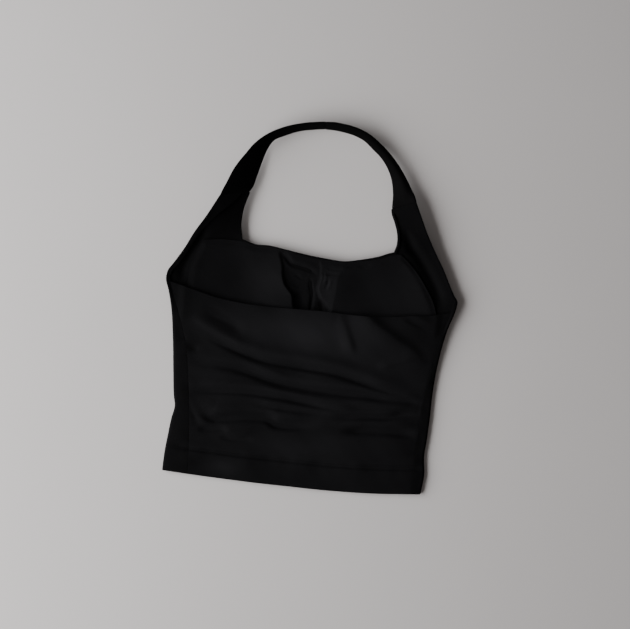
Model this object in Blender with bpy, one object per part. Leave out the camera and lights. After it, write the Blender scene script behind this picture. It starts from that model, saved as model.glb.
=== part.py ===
"""Halter neck top of black stretch jersey, laid out flat on its front.

The top lies face down. Its underside is the front panel, which wraps round both side folds to the side
seams. The upper side shows the back panel with its soft cross folds, above it the bust lining with two
cups and a gathered middle, and the halter straps that run round to the seam at the nape.

Plan sizes are in millimetres in the garment's own frame: x from the middle of its width, y up from the
lowest point of the hem, z up from the surface that it lies on. The model's origin is the bottom middle
of its box.
"""

from collections import namedtuple

import bmesh
import bpy
import numpy as np

MM = 0.001

# Driving sizes, in millimetres.
LENGTH = 440.8  # from the hem's lowest point to the top of the nape
WALL = 1.0  # one layer of jersey
SEAM_GAP = 0.3  # between pieces that are sewn to each other
LAID_GAP = 0.3  # between pieces that lie on each other
ROOM = 0.4  # spare height over a curved layer below
CUP_WALL = 2.4  # lining with its cup padding
NECK_LIFT = 6.0  # how far the neckline stands off the surface
NECK_REACH = 56.0  # how far below the neckline that rise starts
SIDE_REACH = 85.0  # how far inside the side edge the side's rise starts
STRAP_WALL = 3.0  # a strap is jersey turned double
STRAP_SEAM_GAP = 0.6  # between a strap's end and the front's shoulder part, whose walls lean
UNDERARM = 0.839  # share of the side's height at which the armhole starts
SHOULDER_FOOT = 152.0  # from the middle to the foot of each shoulder part's outer edge
SEAM_SAG = 3  # power by which the back panel drops from its side seams to its middle
FOLD_END = 8  # power by which its folds run out at the side seams
COVER_RUN = 24.0  # how far below the lining the back panel starts to rise over it
COVER_WIDTH = 156.0  # how far from the middle it still lies on the lining
COVER_FADE = 8.0
SETTLE = 6  # steps in which a seam's point and its row agree
PROBE = 6.0  # run over which the slope beside an armhole edge is taken

Side = namedtuple("Side", "y left right")
Edge = namedtuple("Edge", "x y")
Height = namedtuple("Height", "y left right")
Level = namedtuple("Level", "y height")
Section = namedtuple("Section", "station outer_x outer_y outer_z inner_x inner_y inner_z crest crest_z")
Profile = namedtuple("Profile", "share across height")
Rim = namedtuple("Rim", "y left right rise")
Fold = namedtuple("Fold", "path ridge ridge_width groove groove_width")

# Silhouette from the hem to the strap seams: side folds up to the armhole, then armhole edges.
OUTLINE = (
    Side(5, -160.5, 151.5),
    Side(28, -159.5, 154.0),
    Side(52, -157.0, 152.0),
    Side(70, -154.8, 153.5),
    Side(87, -152.0, 154.4),
    Side(96, -153.8, 154.8),
    Side(126, -157.2, 155.5),
    Side(166, -161.2, 159.2),
    Side(206, -166.8, 167.0),
    Side(226, -172.0, 173.5),
    Side(234, -174.8, 175.2),
    Side(240, -175.4, 175.3),
    Side(247, -174.2, 170.8),
    Side(256, -168.4, 166.0),
    Side(276, -156.2, 155.8),
    Side(296, -146.0, 144.0),
    Side(316, -133.5, 133.2),
    Side(336, -122.8, 124.0),
    Side(356, -112.0, 115.0),
)
# Inner edges of the front's shoulder parts, from the neckline's corners to the strap seams.
NECK_SIDES = (
    Side(292, -88.0, 94.5),
    Side(300, -89.6, 96.8),
    Side(308, -91.0, 97.2),
    Side(318, -91.0, 95.6),
    Side(328, -90.0, 92.2),
    Side(338, -87.6, 88.0),
    Side(350, -83.8, 87.0),
)
NECKLINE = (
    Edge(-152, 286.0),
    Edge(-120, 290.0),
    Edge(-88, 292.0),
    Edge(-74, 287.7),
    Edge(-54, 287.2),
    Edge(-34, 284.0),
    Edge(-4, 279.4),
    Edge(16, 277.4),
    Edge(36, 276.2),
    Edge(56, 280.0),
    Edge(76, 285.2),
    Edge(94, 292.0),
    Edge(120, 290.0),
    Edge(150, 286.0),
)
HEM = (
    Edge(-160, 7.2),
    Edge(-104, 4.0),
    Edge(-64, 2.2),
    Edge(-4, 0.7),
    Edge(56, 0.0),
    Edge(96, 1.2),
    Edge(152, 5.2),
)
BACK_TOP = (
    Edge(-172, 235.0),
    Edge(-152, 230.2),
    Edge(-113, 220.2),
    Edge(-81, 215.8),
    Edge(-50, 214.4),
    Edge(-15, 214.3),
    Edge(23, 214.3),
    Edge(54, 213.0),
    Edge(83, 213.6),
    Edge(117, 217.4),
    Edge(152, 221.8),
    Edge(170, 226.0),
)
# Side seams, on the upper side: the front panel wraps round the side folds as far as these.
SIDE_SEAMS = (
    Side(0, -129.0, 139.5),
    Side(59, -132.0, 141.0),
    Side(110, -137.2, 144.0),
    Side(159, -144.5, 151.0),
    Side(200, -157.5, 160.2),
    Side(226, -167.4, 168.0),
    Side(241, -171.4, 171.8),
)
# Turned-in edge of the armhole, as widths from the edge; it grows to the strap's full width.
ARMHOLE_TURN = (
    Side(238, 4.0, 4.0),
    Side(256, 6.5, 7.0),
    Side(276, 6.5, 9.0),
    Side(300, 8.5, 12.5),
    Side(316, 13.0, 18.0),
    Side(334, 24.5, 25.0),
    Side(356, 29.0, 29.0),
)
# Height of the side edges' lower face above the surface.
EDGE_LIFT = (
    Height(0, 0.0, 0.0),
    Height(110, 0.0, 0.0),
    Height(150, 0.6, 0.6),
    Height(180, 2.4, 2.4),
    Height(210, 4.5, 4.3),
    Height(240, 7.2, 6.8),
    Height(290, 9.2, 8.6),
)
# Thickness of the folded side edge, both layers and the air between them.
FOLD_DEPTH = (
    Level(0, 5.0),
    Level(180, 5.0),
    Level(215, 4.4),
    Level(240, 3.2),
    Level(356, 3.0),
)
# Upper face of the back panel along its middle.
BACK_LEVEL = (
    Level(0, 4.2),
    Level(100, 4.4),
    Level(150, 4.8),
    Level(185, 6.8),
    Level(215, 8.4),
    Level(240, 8.8),
)
LINING_SIDES = (
    Side(198, -146.0, 151.0),
    Side(226, -148.5, 150.6),
    Side(238, -149.2, 146.2),
    Side(254, -148.6, 136.3),
    Side(271, -143.0, 122.8),
    Side(292, -133.4, 99.0),
)
LINING_BOTTOM = 198.0
LINING_TOP = 291.0
LINING_CORNER = 3.0  # how much lower its outer upper corners are
LINING_INSET = 1.2  # from the neckline's edge
MIDDLE_GATHER = 0.07  # how far its columns crowd together in the gathered middle

# Straps, from the strap seam to the nape: a row is one section, along the middle of the strap's wall. The
# crest is a point between its edges, given as a share of the way from the outer to the inner edge.
LEFT_STRAP = (
    Section(0, -119.2, 342.0, 15.2, -84.5, 349.2, 8.0, 0.5, 11.6),
    Section(1, -112.3, 358.7, 16.2, -79.9, 358.1, 7.5, 0.3, 14.6),
    Section(2, -104.0, 377.2, 17.2, -76.0, 373.0, 7.0, 0.3, 15.2),
    Section(3, -93.2, 393.6, 17.6, -72.4, 387.2, 6.0, 0.3, 15.0),
    Section(4, -83.1, 407.2, 17.4, -67.6, 402.3, 4.6, 0.3, 14.4),
    Section(5, -70.4, 418.4, 17.0, -60.8, 413.8, 3.0, 0.3, 13.4),
    Section(6, -53.7, 427.6, 16.4, -49.6, 420.2, 1.4, 0.3, 12.4),
    Section(7, -33.8, 434.5, 15.8, -32.2, 427.5, 1.0, 0.3, 11.9),
    Section(8, -14.0, 438.3, 15.5, -13.4, 431.4, 0.9, 0.2, 13.0),
    Section(9, 0.0, 440.0, 15.4, 0.0, 432.7, 0.9, 0.1, 14.1),
)
RIGHT_STRAP = (
    Section(0, 116.2, 354.0, 13.6, 87.4, 343.4, 8.0, 0.5, 10.8),
    Section(1, 111.3, 365.0, 11.6, 87.0, 360.0, 8.5, 0.3, 12.6),
    Section(2, 103.3, 379.6, 8.4, 84.2, 376.6, 8.8, 0.28, 13.0),
    Section(3, 92.6, 395.4, 7.0, 77.9, 391.4, 8.6, 0.35, 12.8),
    Section(4, 80.2, 409.5, 8.6, 69.0, 403.6, 7.0, 0.4, 12.6),
    Section(5, 66.4, 421.3, 11.4, 59.2, 412.7, 4.8, 0.36, 13.0),
    Section(6, 50.7, 431.2, 13.8, 46.9, 423.0, 3.0, 0.34, 12.4),
    Section(7, 33.8, 437.0, 15.0, 32.2, 429.0, 1.3, 0.3, 11.8),
    Section(8, 16.0, 439.8, 15.4, 15.2, 432.0, 1.0, 0.2, 13.0),
    Section(9, 0.0, 440.0, 15.4, 0.0, 432.7, 0.9, 0.1, 14.1),
)

# Folds of the back panel: each is a groove along its path with a soft ridge on its upper side.
BACK_FOLDS = (
    Fold(((-137, 194), (-87, 182), (-70, 168)), 0.0, 8.0, 1.4, 8.0),
    Fold(
        ((-130, 176), (-102, 162), (-63, 150), (-9, 145), (55, 135), (106, 125), (147, 124)),
        2.6, 8.0, 1.4, 3.4,
    ),
    Fold(((-140, 141), (-107, 139), (-45, 127), (-7, 120), (76, 117), (146, 118)), 1.8, 7.0, 1.5, 3.4),
    Fold(((-130, 109), (-65, 106), (-30, 103), (8, 99), (60, 95)), 2.0, 6.0, 1.2, 3.2),
    Fold(
        ((-126, 79), (-107, 72), (-78, 75), (-44, 80), (-25, 72), (48, 76), (86, 72), (141, 71)),
        2.2, 8.0, 1.5, 3.4,
    ),
    Fold(((70, 90), (104, 94), (144, 98)), 1.2, 6.0, 1.0, 3.4),
    Fold(((-120, 59), (-98, 62), (-70, 55), (-44, 54)), 1.0, 6.0, 1.0, 3.4),
    Fold(((-122, 37), (-68, 32), (-34, 29), (39, 32), (132, 33)), 1.2, 6.0, 1.1, 3.2),
    Fold(((70, 214), (100, 192), (130, 172), (152, 156)), 1.6, 8.0, 1.5, 4.2),
    Fold(((54, 210), (58, 190), (62, 168)), 1.0, 7.0, 1.2, 5.0),
)
# Rims of the cups beside the gathered middle: where they run, and how high over the cups' bottoms.
CUP_RIMS = (
    Rim(198, -20.0, 18.0, 1.4),
    Rim(214, -22.0, 22.0, 2.2),
    Rim(226, -25.0, 26.0, 3.0),
    Rim(242, -31.0, 30.0, 3.4),
    Rim(258, -39.0, 33.0, 2.6),
    Rim(276, -44.0, 34.0, 0.6),
)
CUP_MIDDLES = {"left": -94.0, "right": 90.0}
# Gathers of the lining's middle.
LINING_FOLDS = (
    Fold(((-38, 276), (-18, 268), (-2, 262)), 1.0, 4.0, 0.8, 3.0),
    Fold(((8, 266), (16, 244), (14, 224)), 1.2, 4.0, 0.8, 3.0),
    Fold(((-4, 262), (-12, 244), (-9, 222)), 0.9, 4.0, 0.8, 3.0),
)


def smoothstep(share):
    """An even rise from 0 to 1 with soft ends."""
    share = np.clip(share, 0.0, 1.0)
    return share * share * (3 - 2 * share)


def bowl(share):
    """A rise from 0 to 1 that steepens all the way, as the side of a shallow bowl."""
    return np.clip(share, 0.0, 1.0) ** 2


def curve(table, column, at):
    """The value at a place on the smooth curve through a table's rows, whose first column is the place."""
    places = np.array([row[0] for row in table], float)
    values = np.array([getattr(row, column) for row in table], float)
    slopes = np.gradient(values, places)
    at = np.clip(np.asarray(at, float), places[0], places[-1])
    index = np.clip(np.searchsorted(places, at) - 1, 0, len(places) - 2)
    step = places[index + 1] - places[index]
    share = (at - places[index]) / step
    rise = share * share * (3 - 2 * share)
    start = share * (1 - share) ** 2
    end = share * share * (share - 1)
    flat = values[index] * (1 - rise) + values[index + 1] * rise
    return flat + step * (slopes[index] * start + slopes[index + 1] * end)


def mix(a, b, share):
    return a + (b - a) * share


def side_distance(x, y):
    """How far a place lies inside the left and the right edge of the silhouette."""
    return x - curve(OUTLINE, "left", y), curve(OUTLINE, "right", y) - x


def front_lift(x, y):
    """Height of the front panel's lower face: flat on the surface, rising to armholes and neckline."""
    from_left, from_right = side_distance(x, y)
    side = np.maximum(curve(EDGE_LIFT, "left", y), 0) * bowl(1 - from_left / SIDE_REACH)
    side = side + np.maximum(curve(EDGE_LIFT, "right", y), 0) * bowl(1 - from_right / SIDE_REACH)
    below_neck = curve(NECKLINE, "y", x) - y
    neck = NECK_LIFT * bowl(1 - below_neck / NECK_REACH)
    return np.cbrt(side**3 + neck**3)


def fold_relief(folds, x, y):
    """Height that a table's folds add at a place: a groove on each path, a ridge on its upper side."""
    relief = np.zeros_like(x)
    for fold in folds:
        path = np.array(fold.path, float)
        run = np.concatenate([[0.0], np.cumsum(np.linalg.norm(np.diff(path, axis=0), axis=1))])
        nearest = np.full_like(x, np.inf)
        offset, along = np.zeros_like(x), np.zeros_like(x)
        for start, end, run_start in zip(path, path[1:], run):
            step = end - start
            length = np.linalg.norm(step)
            share = ((x - start[0]) * step[0] + (y - start[1]) * step[1]) / length**2
            share = np.clip(share, 0.0, 1.0)
            away_x, away_y = x - start[0] - share * step[0], y - start[1] - share * step[1]
            distance = np.hypot(away_x, away_y)
            side = np.sign(step[0] * away_y - step[1] * away_x)
            closer = distance < nearest
            nearest = np.where(closer, distance, nearest)
            offset = np.where(closer, distance * side, offset)
            along = np.where(closer, run_start + share * length, along)
        fade = smoothstep(4 * np.minimum(along, run[-1] - along) / run[-1])
        ridge_place = fold.ridge_width if fold.groove else 0.0
        ridge = fold.ridge * np.exp(-(((offset - ridge_place) / fold.ridge_width) ** 2))
        groove = fold.groove * np.exp(-((offset / fold.groove_width) ** 2))
        relief += fade * (ridge - groove)
    return relief


def lining_level(x, y):
    """Upper face of the bust lining: two hollow cups, with a gathered middle between raised rims."""
    rims = {side: curve(CUP_RIMS, side, y) for side in CUP_MIDDLES}
    middle = (rims["left"] + rims["right"]) / 2
    rise = np.zeros_like(x)
    for side, cup_middle in CUP_MIDDLES.items():
        in_cup = (x - cup_middle) / (rims[side] - cup_middle)
        in_valley = (x - middle) / (rims[side] - middle)
        here = np.where(in_cup > 1, bowl(in_valley), bowl(in_cup))
        rise = np.maximum(rise, here)
    rise = rise * curve(CUP_RIMS, "rise", y)
    gathers = np.maximum(fold_relief(LINING_FOLDS, x, y), -ROOM)
    return front_lift(x, y) + WALL + LAID_GAP + ROOM + CUP_WALL + rise + gathers


def back_level(x, y):
    """Upper face of the back panel: flush with the front panel at both side seams, lower in the middle."""
    left, right = curve(SIDE_SEAMS, "left", y), curve(SIDE_SEAMS, "right", y)
    place = np.clip(2 * (x - left) / (right - left) - 1, -1, 1)
    seam_x = np.where(place < 0, left, right)
    at_seam = front_lift(seam_x, y) + curve(FOLD_DEPTH, "height", y)
    middle = curve(BACK_LEVEL, "height", y)
    folds = fold_relief(BACK_FOLDS, x, y) * (1 - np.abs(place) ** FOLD_END)
    level = mix(middle, at_seam, np.abs(place) ** SEAM_SAG) + folds
    over_front = front_lift(x, y) + WALL + LAID_GAP + ROOM + WALL
    over_lining = lining_level(x, y) + LAID_GAP + ROOM + WALL
    covers = smoothstep((y - LINING_BOTTOM) / COVER_RUN + 1)
    covers = covers * smoothstep((COVER_WIDTH - np.abs(x)) / COVER_FADE + 1)
    return np.maximum(level, np.maximum(over_front, mix(over_front, over_lining, covers)))


def new_material(name, colour, roughness):
    material = bpy.data.materials.new(name)
    material.use_nodes = True
    shader = material.node_tree.nodes["Principled BSDF"]
    shader.inputs["Base Color"].default_value = (*colour, 1)
    shader.inputs["Roughness"].default_value = roughness
    shader.inputs["Metallic"].default_value = 0.0
    return material


def to_world(points):
    """Garment millimetres as model metres, with the origin under the middle of the garment."""
    return (np.asarray(points) - (0.0, LENGTH / 2, 0.0)) * MM


def finish(name, shape, material):
    mesh = bpy.data.meshes.new(name)
    shape.to_mesh(mesh)
    shape.free()
    mesh.shade_smooth()
    mesh.materials.append(material)
    piece = bpy.data.objects.new(name, mesh)
    bpy.context.scene.collection.objects.link(piece)
    return piece


def cloth(name, material, columns, rows, place, wall, grow, cut_out=None):
    """A panel: a grid moved onto its surface, with the wall grown down or into the garment."""
    shape = bmesh.new()
    bmesh.ops.create_grid(shape, x_segments=columns, y_segments=rows, size=0.5)
    corners = np.array([vert.co for vert in shape.verts]) + 0.5
    column = np.rint(corners[:, 0] * columns).astype(int)
    row = np.rint(corners[:, 1] * rows).astype(int)
    if cut_out:
        middles = [(face, face.calc_center_median()) for face in shape.faces]
        removed = [face for face, at in middles if cut_out(at.x + 0.5, at.y + 0.5)]
        bmesh.ops.delete(shape, geom=removed, context="FACES_ONLY")
    for vert, point in zip(shape.verts, to_world(place(column, row))):
        vert.co = point
    loose = [vert for vert in shape.verts if not vert.link_faces]
    bmesh.ops.delete(shape, geom=loose, context="VERTS")
    piece = finish(name, shape, material)
    solid = piece.modifiers.new("wall", "SOLIDIFY")
    solid.thickness = wall * MM
    solid.offset = grow
    return piece


# Columns of the front panel's grid, from the left seam round the underside to the right seam.
WRAP_COLUMNS = 3
ARC_COLUMNS = 5
SHOULDER_COLUMNS = 5
NECK_COLUMNS = 10
UNDER_COLUMNS = 2 * SHOULDER_COLUMNS + NECK_COLUMNS
SIDE_COLUMNS = WRAP_COLUMNS + ARC_COLUMNS
FRONT_COLUMNS = UNDER_COLUMNS + 2 * SIDE_COLUMNS
# Rows: hem to underarm, underarm to neckline, neckline to strap seams.
BODY_ROWS = 20
BUST_ROWS = 4
SHOULDER_ROWS = 6
FRONT_ROWS = BODY_ROWS + BUST_ROWS + SHOULDER_ROWS


def front_row(row):
    """Share of the height up to the neckline, and share of the shoulder part above it."""
    share = np.interp(row, (0, BODY_ROWS, BODY_ROWS + BUST_ROWS), (0, UNDERARM, 1))
    shoulder = np.clip((row - BODY_ROWS - BUST_ROWS) / SHOULDER_ROWS, 0, 1)
    return share, shoulder


def strap_of(side):
    return LEFT_STRAP if side == "left" else RIGHT_STRAP


def edge_point(side, share, shoulder):
    """The silhouette's point on a row: side fold, armhole edge or outer edge of the shoulder part."""
    foot = -SHOULDER_FOOT if side == "left" else SHOULDER_FOOT
    y = mix(curve(HEM, "y", foot), curve(NECKLINE, "y", foot), share)
    y = mix(y, strap_of(side)[0].outer_y - STRAP_SEAM_GAP, shoulder)
    return curve(OUTLINE, side, y), y


def inner_point(side, shoulder):
    """The inner edge of a shoulder part on a row."""
    y = mix(NECK_SIDES[0].y, strap_of(side)[0].inner_y - STRAP_SEAM_GAP, shoulder)
    return curve(NECK_SIDES, side, y), y


def under_point(x, share):
    """Lower face of the front panel below the neckline."""
    y = mix(curve(HEM, "y", x), curve(NECKLINE, "y", x), share)
    return x, y, front_lift(x, y)


def near_side(side, distance, row):
    """Lower face of the front panel at a distance inside its left or right edge, on a row."""
    share, shoulder = front_row(row)
    outer_x, outer_y = edge_point(side, share, shoulder)
    inner_x, inner_y = inner_point(side, shoulder)
    inward = 1 if side == "left" else -1
    x, y, z = under_point(outer_x + inward * distance, share)
    across = distance / np.abs(inner_x - outer_x)
    top_x, top_y, top_z = shoulder_foot(side, across)
    seam = strap_of(side)[0]
    seam_z = mix(seam.outer_z, seam.inner_z, across) - STRAP_WALL / 2
    above = shoulder > 0
    x = np.where(above, mix(outer_x, inner_x, across), x)
    y = np.where(above, mix(outer_y, inner_y, across), y)
    return x, y, np.where(above, mix(top_z, seam_z, smoothstep(shoulder)), z)


def shoulder_foot(side, across):
    """The row where a shoulder part starts, level with the neckline."""
    outer_x = edge_point(side, 1.0, 0.0)[0]
    inner_x = inner_point(side, 0.0)[0]
    return under_point(mix(outer_x, inner_x, across), 1.0)


def front_place(column, row):
    """The front panel's outer face: underside, side folds and what wraps over to the side seams."""
    share, shoulder = front_row(row)
    left_x, right_x = edge_point("left", share, 0.0)[0], edge_point("right", share, 0.0)[0]
    corners = place_of_corners()
    starts = (0, SHOULDER_COLUMNS, UNDER_COLUMNS - SHOULDER_COLUMNS, UNDER_COLUMNS)
    place = np.interp(column - SIDE_COLUMNS, starts, (0, corners[0], corners[1], 1))
    points = np.stack(under_point(mix(left_x, right_x, place), share))
    for side, inward, step, across in (
        ("left", 1, SIDE_COLUMNS - column, place / corners[0]),
        ("right", -1, column - SIDE_COLUMNS - UNDER_COLUMNS, (1 - place) / (1 - corners[1])),
    ):
        edge_x, edge_y = edge_point(side, share, shoulder)
        radius = curve(FOLD_DEPTH, "height", edge_y) / 2
        turn = np.pi * np.clip(step / ARC_COLUMNS, 0, 1)
        seam_x = seam_points(side)[0][np.minimum(row, BODY_ROWS)]
        seam_width = np.abs(seam_x - edge_x)
        width = np.where(share <= UNDERARM, seam_width, curve(ARMHOLE_TURN, side, edge_y))
        beyond = np.clip((step - ARC_COLUMNS) / WRAP_COLUMNS, 0, 1)
        distance = np.where(step > ARC_COLUMNS, mix(radius, width, beyond), radius * (1 - np.sin(turn)))
        shoulder_width = np.abs(inner_point(side, shoulder)[0] - edge_x)
        distance = np.where(step < 0, mix(radius, shoulder_width, across), distance)
        fall = near_side(side, 0.0, row)[2] - near_side(side, PROBE, row)[2]
        tilt = np.where(share > UNDERARM, np.arctan(fall / PROBE), 0.0)
        rise = radius * (1 - np.cos(turn))
        wrapped = np.stack(near_side(side, distance + rise * np.sin(tilt), row))
        wrapped[2] += rise / np.cos(tilt)
        takes = (step >= 0) | ((shoulder > 0) & (across <= 1))
        points = np.where(takes, wrapped, points)
    return points.T


def seam_points(side):
    """Where a side seam crosses the rows of the front panel."""
    rows = front_row(np.arange(BODY_ROWS + 1))[0]
    x, y = edge_point(side, rows, 0.0)
    for _ in range(SETTLE):
        x = curve(SIDE_SEAMS, side, y)
        y = mix(curve(HEM, "y", x), curve(NECKLINE, "y", x), rows)
    return x, y


def seam_line(side, y):
    """Side seam, straight from one row of the front panel to the next, so that both panels share it."""
    seam_x, seam_y = seam_points(side)
    return np.interp(y, seam_y, seam_x)


def place_of_corners():
    """Where the neckline's corners lie across the front panel, as shares of its width."""
    corner = NECK_SIDES[0]
    left, right = curve(OUTLINE, "left", corner.y), curve(OUTLINE, "right", corner.y)
    return (corner.left - left) / (right - left), (corner.right - left) / (right - left)


def neck_hole(across, up):
    """True for the part of the front panel's grid that the neck opening takes."""
    column, row = across * FRONT_COLUMNS, up * FRONT_ROWS
    first = SIDE_COLUMNS + SHOULDER_COLUMNS
    return first < column < first + NECK_COLUMNS and row > BODY_ROWS + BUST_ROWS


BACK_COLUMNS = 20
BACK_ROWS = 54


def back_place(column, row):
    """The back panel's upper face, from side seam to side seam and from the hem to its top edge."""
    share = row / BACK_ROWS
    ends = []
    for side, inward in (("left", 1), ("right", -1)):
        x = np.full(len(row), -inward * SHOULDER_FOOT)
        for _ in range(SETTLE):
            y = mix(curve(HEM, "y", x), curve(BACK_TOP, "y", x), share)
            x = seam_line(side, y) + inward * SEAM_GAP
        ends.append(x)
    x = mix(ends[0], ends[1], column / BACK_COLUMNS)
    y = mix(curve(HEM, "y", x), curve(BACK_TOP, "y", x), share)
    return np.stack([x, y, back_level(x, y)], axis=1)


LINING_COLUMNS = 34
LINING_ROWS = 11


def lining_place(column, row):
    """The bust lining's upper face, with more columns in its gathered middle."""
    across = column / LINING_COLUMNS
    across = across + MIDDLE_GATHER * np.sin(2 * np.pi * across)
    share = row / LINING_ROWS
    side_y = mix(LINING_BOTTOM, LINING_TOP - LINING_CORNER, share)
    x = mix(curve(LINING_SIDES, "left", side_y), curve(LINING_SIDES, "right", side_y), across)
    high = np.minimum(curve(NECKLINE, "y", x), LINING_TOP) - LINING_INSET
    y = mix(LINING_BOTTOM, high, share)
    return np.stack([x, y, lining_level(x, y)], axis=1)


STRAP_STATIONS = 30
STRAP_STEPS = 10  # from the outer to the inner edge, on each face
EDGE_ROUND = 8  # power that rounds a strap's edges over its flat faces
SLOPE_STEP = 0.01


def strap_profile(row, shares):
    """Across and height of a section's middle line, where the flank below the crest stays in the outline."""
    width = np.hypot(row.inner_x - row.outer_x, row.inner_y - row.outer_y)
    flank = np.array((row.crest * width, row.crest_z - row.outer_z))
    foot = STRAP_WALL / 2 * max(flank[1], 0.0) / np.linalg.norm(flank)
    knots = np.array(((foot, row.outer_z), (max(foot, flank[0]), row.crest_z), (width, row.inner_z)))
    chords = np.linalg.norm(np.diff(knots, axis=0), axis=1)
    places = (0.0, chords[0] / chords.sum(), 1.0)
    profile = [Profile(place, *knot) for place, knot in zip(places, knots)]
    return np.stack([curve(profile, "across", shares), curve(profile, "height", shares)], axis=1)


def strap_ring(row):
    """A section's outline: over the upper face to the inner edge, and back under the lower face."""
    turn = np.pi * np.arange(2 * STRAP_STEPS) / STRAP_STEPS
    shares = (1 - np.cos(turn)) / 2
    slope = strap_profile(row, shares + SLOPE_STEP) - strap_profile(row, shares - SLOPE_STEP)
    slope /= np.linalg.norm(slope, axis=1)[:, None]
    up = np.sign(np.sin(turn)) * np.sqrt(1 - np.abs(2 * shares - 1) ** EDGE_ROUND) * STRAP_WALL / 2
    line = strap_profile(row, shares)
    line += up[:, None] * np.stack([-slope[:, 1], slope[:, 0]], axis=1)
    outer, inner = np.array((row.outer_x, row.outer_y)), np.array((row.inner_x, row.inner_y))
    inward = (inner - outer) / np.linalg.norm(inner - outer)
    return np.column_stack([outer + line[:, :1] * inward, line[:, 1]])


def strap_piece(name, material, table):
    """A strap: rings lofted from the strap seam to the nape seam, closed at both ends."""
    fields = Section._fields[1:]
    shape = bmesh.new()
    loops = []
    for station in np.linspace(0, table[-1].station, STRAP_STATIONS):
        row = Section(station, *(float(curve(table, field, station)) for field in fields))
        ring = strap_ring(row)
        if station == table[-1].station:
            ring[:, 0] += np.sign(table[0].outer_x) * SEAM_GAP / 2
        verts = [shape.verts.new(point) for point in to_world(ring)]
        loops.append([shape.edges.new((a, b)) for a, b in zip(verts, verts[1:] + verts[:1])])
    for low, high in zip(loops, loops[1:]):
        bmesh.ops.bridge_loops(shape, edges=low + high)
    bmesh.ops.holes_fill(shape, edges=loops[0] + loops[-1], sides=0)
    bmesh.ops.recalc_face_normals(shape, faces=shape.faces)
    return finish(name, shape, material)


for old in list(bpy.data.objects):
    bpy.data.objects.remove(old)

jersey = new_material("black jersey", (0.011, 0.011, 0.012), 0.85)
lining = new_material("black lining", (0.012, 0.012, 0.013), 0.8)

cloth("front_panel", jersey, FRONT_COLUMNS, FRONT_ROWS, front_place, WALL, 1.0, neck_hole)
cloth("back_panel", jersey, BACK_COLUMNS, BACK_ROWS, back_place, WALL, -1.0)
cloth("bust_lining", lining, LINING_COLUMNS, LINING_ROWS, lining_place, CUP_WALL, -1.0)
strap_piece("strap_left", jersey, LEFT_STRAP)
strap_piece("strap_right", jersey, RIGHT_STRAP)
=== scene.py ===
# %% [markdown]
# # A black halter neck top, laid flat
#
# The top lies face down on a pale floor. Its back panel shows, above it the padded lining inside the
# bust, and round the top the neck loop. The construction comes as a frame of five plain solids. Here
# each of them gets its cloth: a thin shell of the same form, with a much finer net of points, so that
# creases, seams, hems and gathers have real depth. A solid stays hidden once its cloth stands for it.

# %% Load the frame
from collections import namedtuple

import bmesh
import bpy
import numpy as np
from mathutils import Matrix, Vector


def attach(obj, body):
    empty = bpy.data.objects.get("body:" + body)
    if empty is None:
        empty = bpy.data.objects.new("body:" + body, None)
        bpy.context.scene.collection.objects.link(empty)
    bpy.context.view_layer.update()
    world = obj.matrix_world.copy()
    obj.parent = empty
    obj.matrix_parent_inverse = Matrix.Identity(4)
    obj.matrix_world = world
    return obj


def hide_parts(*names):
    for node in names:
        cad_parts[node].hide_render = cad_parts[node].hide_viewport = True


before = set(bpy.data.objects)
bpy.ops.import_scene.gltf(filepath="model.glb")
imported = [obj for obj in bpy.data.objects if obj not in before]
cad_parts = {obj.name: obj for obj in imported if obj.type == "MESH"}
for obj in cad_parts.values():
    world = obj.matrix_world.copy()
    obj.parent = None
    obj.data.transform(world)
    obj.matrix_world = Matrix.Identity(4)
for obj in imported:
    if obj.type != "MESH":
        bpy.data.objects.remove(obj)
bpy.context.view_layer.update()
print("solids:", sorted(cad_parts))

# %% [markdown]
# ## The garment's own ruler
#
# A pattern cutter works in millimetres on a flat table, so the sizes below do too: x from the middle of
# the width, y up from the hem, z up from the table. One function turns them into metres in the frame.
# Heights are counted in layers, because every piece lies on the ones below it.

# %% Sizes in millimetres
MM = 0.001
LENGTH = 440.8
LAYER = 1.0  # height that one layer of jersey takes in the frame
JERSEY = 0.8  # the jersey itself
LAID_GAP = 0.3  # what stays between two pieces laid on each other
ROOM = 0.4  # and what their swells need besides
CUP_WALL = 2.4
STRAP_WALL = 3.0
ROLL = 0.95  # radius of a turned edge


def to_world(points):
    """Garment millimetres as metres in the frame."""
    return (np.asarray(points) - (0.0, LENGTH / 2, 0.0)) * MM


# %% [markdown]
# ## Curves from short tables
#
# An outline needs few points if a smooth curve runs through them. The curve below passes through every
# row of a table and takes its slope there from the two neighbours, which keeps it free of kinks.

# %% Curves
Side = namedtuple("Side", "y left right")
Edge = namedtuple("Edge", "x y")
Level = namedtuple("Level", "y height")


def table_of(kind, *rows):
    return tuple(kind(*row) for row in rows)


def smoothstep(share):
    share = np.clip(share, 0.0, 1.0)
    return share * share * (3 - 2 * share)


def bowl(share):
    """A rise from 0 to 1 that steepens all the way, as the side of a shallow bowl."""
    return np.clip(share, 0.0, 1.0) ** 2


def bump(offset, width):
    """A soft bell of height 1."""
    return np.exp(-((offset / width) ** 2))


def mix(a, b, share):
    return a + (b - a) * share


def curve(table, column, at):
    """The value at a place on the smooth curve through a table, whose first column is the place."""
    places = np.array([row[0] for row in table], float)
    values = np.array([getattr(row, column) for row in table], float)
    slopes = np.gradient(values, places)
    at = np.clip(np.asarray(at, float), places[0], places[-1])
    index = np.clip(np.searchsorted(places, at) - 1, 0, len(places) - 2)
    step = places[index + 1] - places[index]
    share = (at - places[index]) / step
    rise = smoothstep(share)
    start = share * (1 - share) ** 2
    end = share * share * (share - 1)
    flat = values[index] * (1 - rise) + values[index + 1] * rise
    return flat + step * (slopes[index] * start + slopes[index + 1] * end)


TENT = table_of(Edge, (0, 0), (1, 1), (2, 0))
print("a curve through 0, 1 and 0, between them:", curve(TENT, "y", [0.5, 1.5]))

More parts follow.
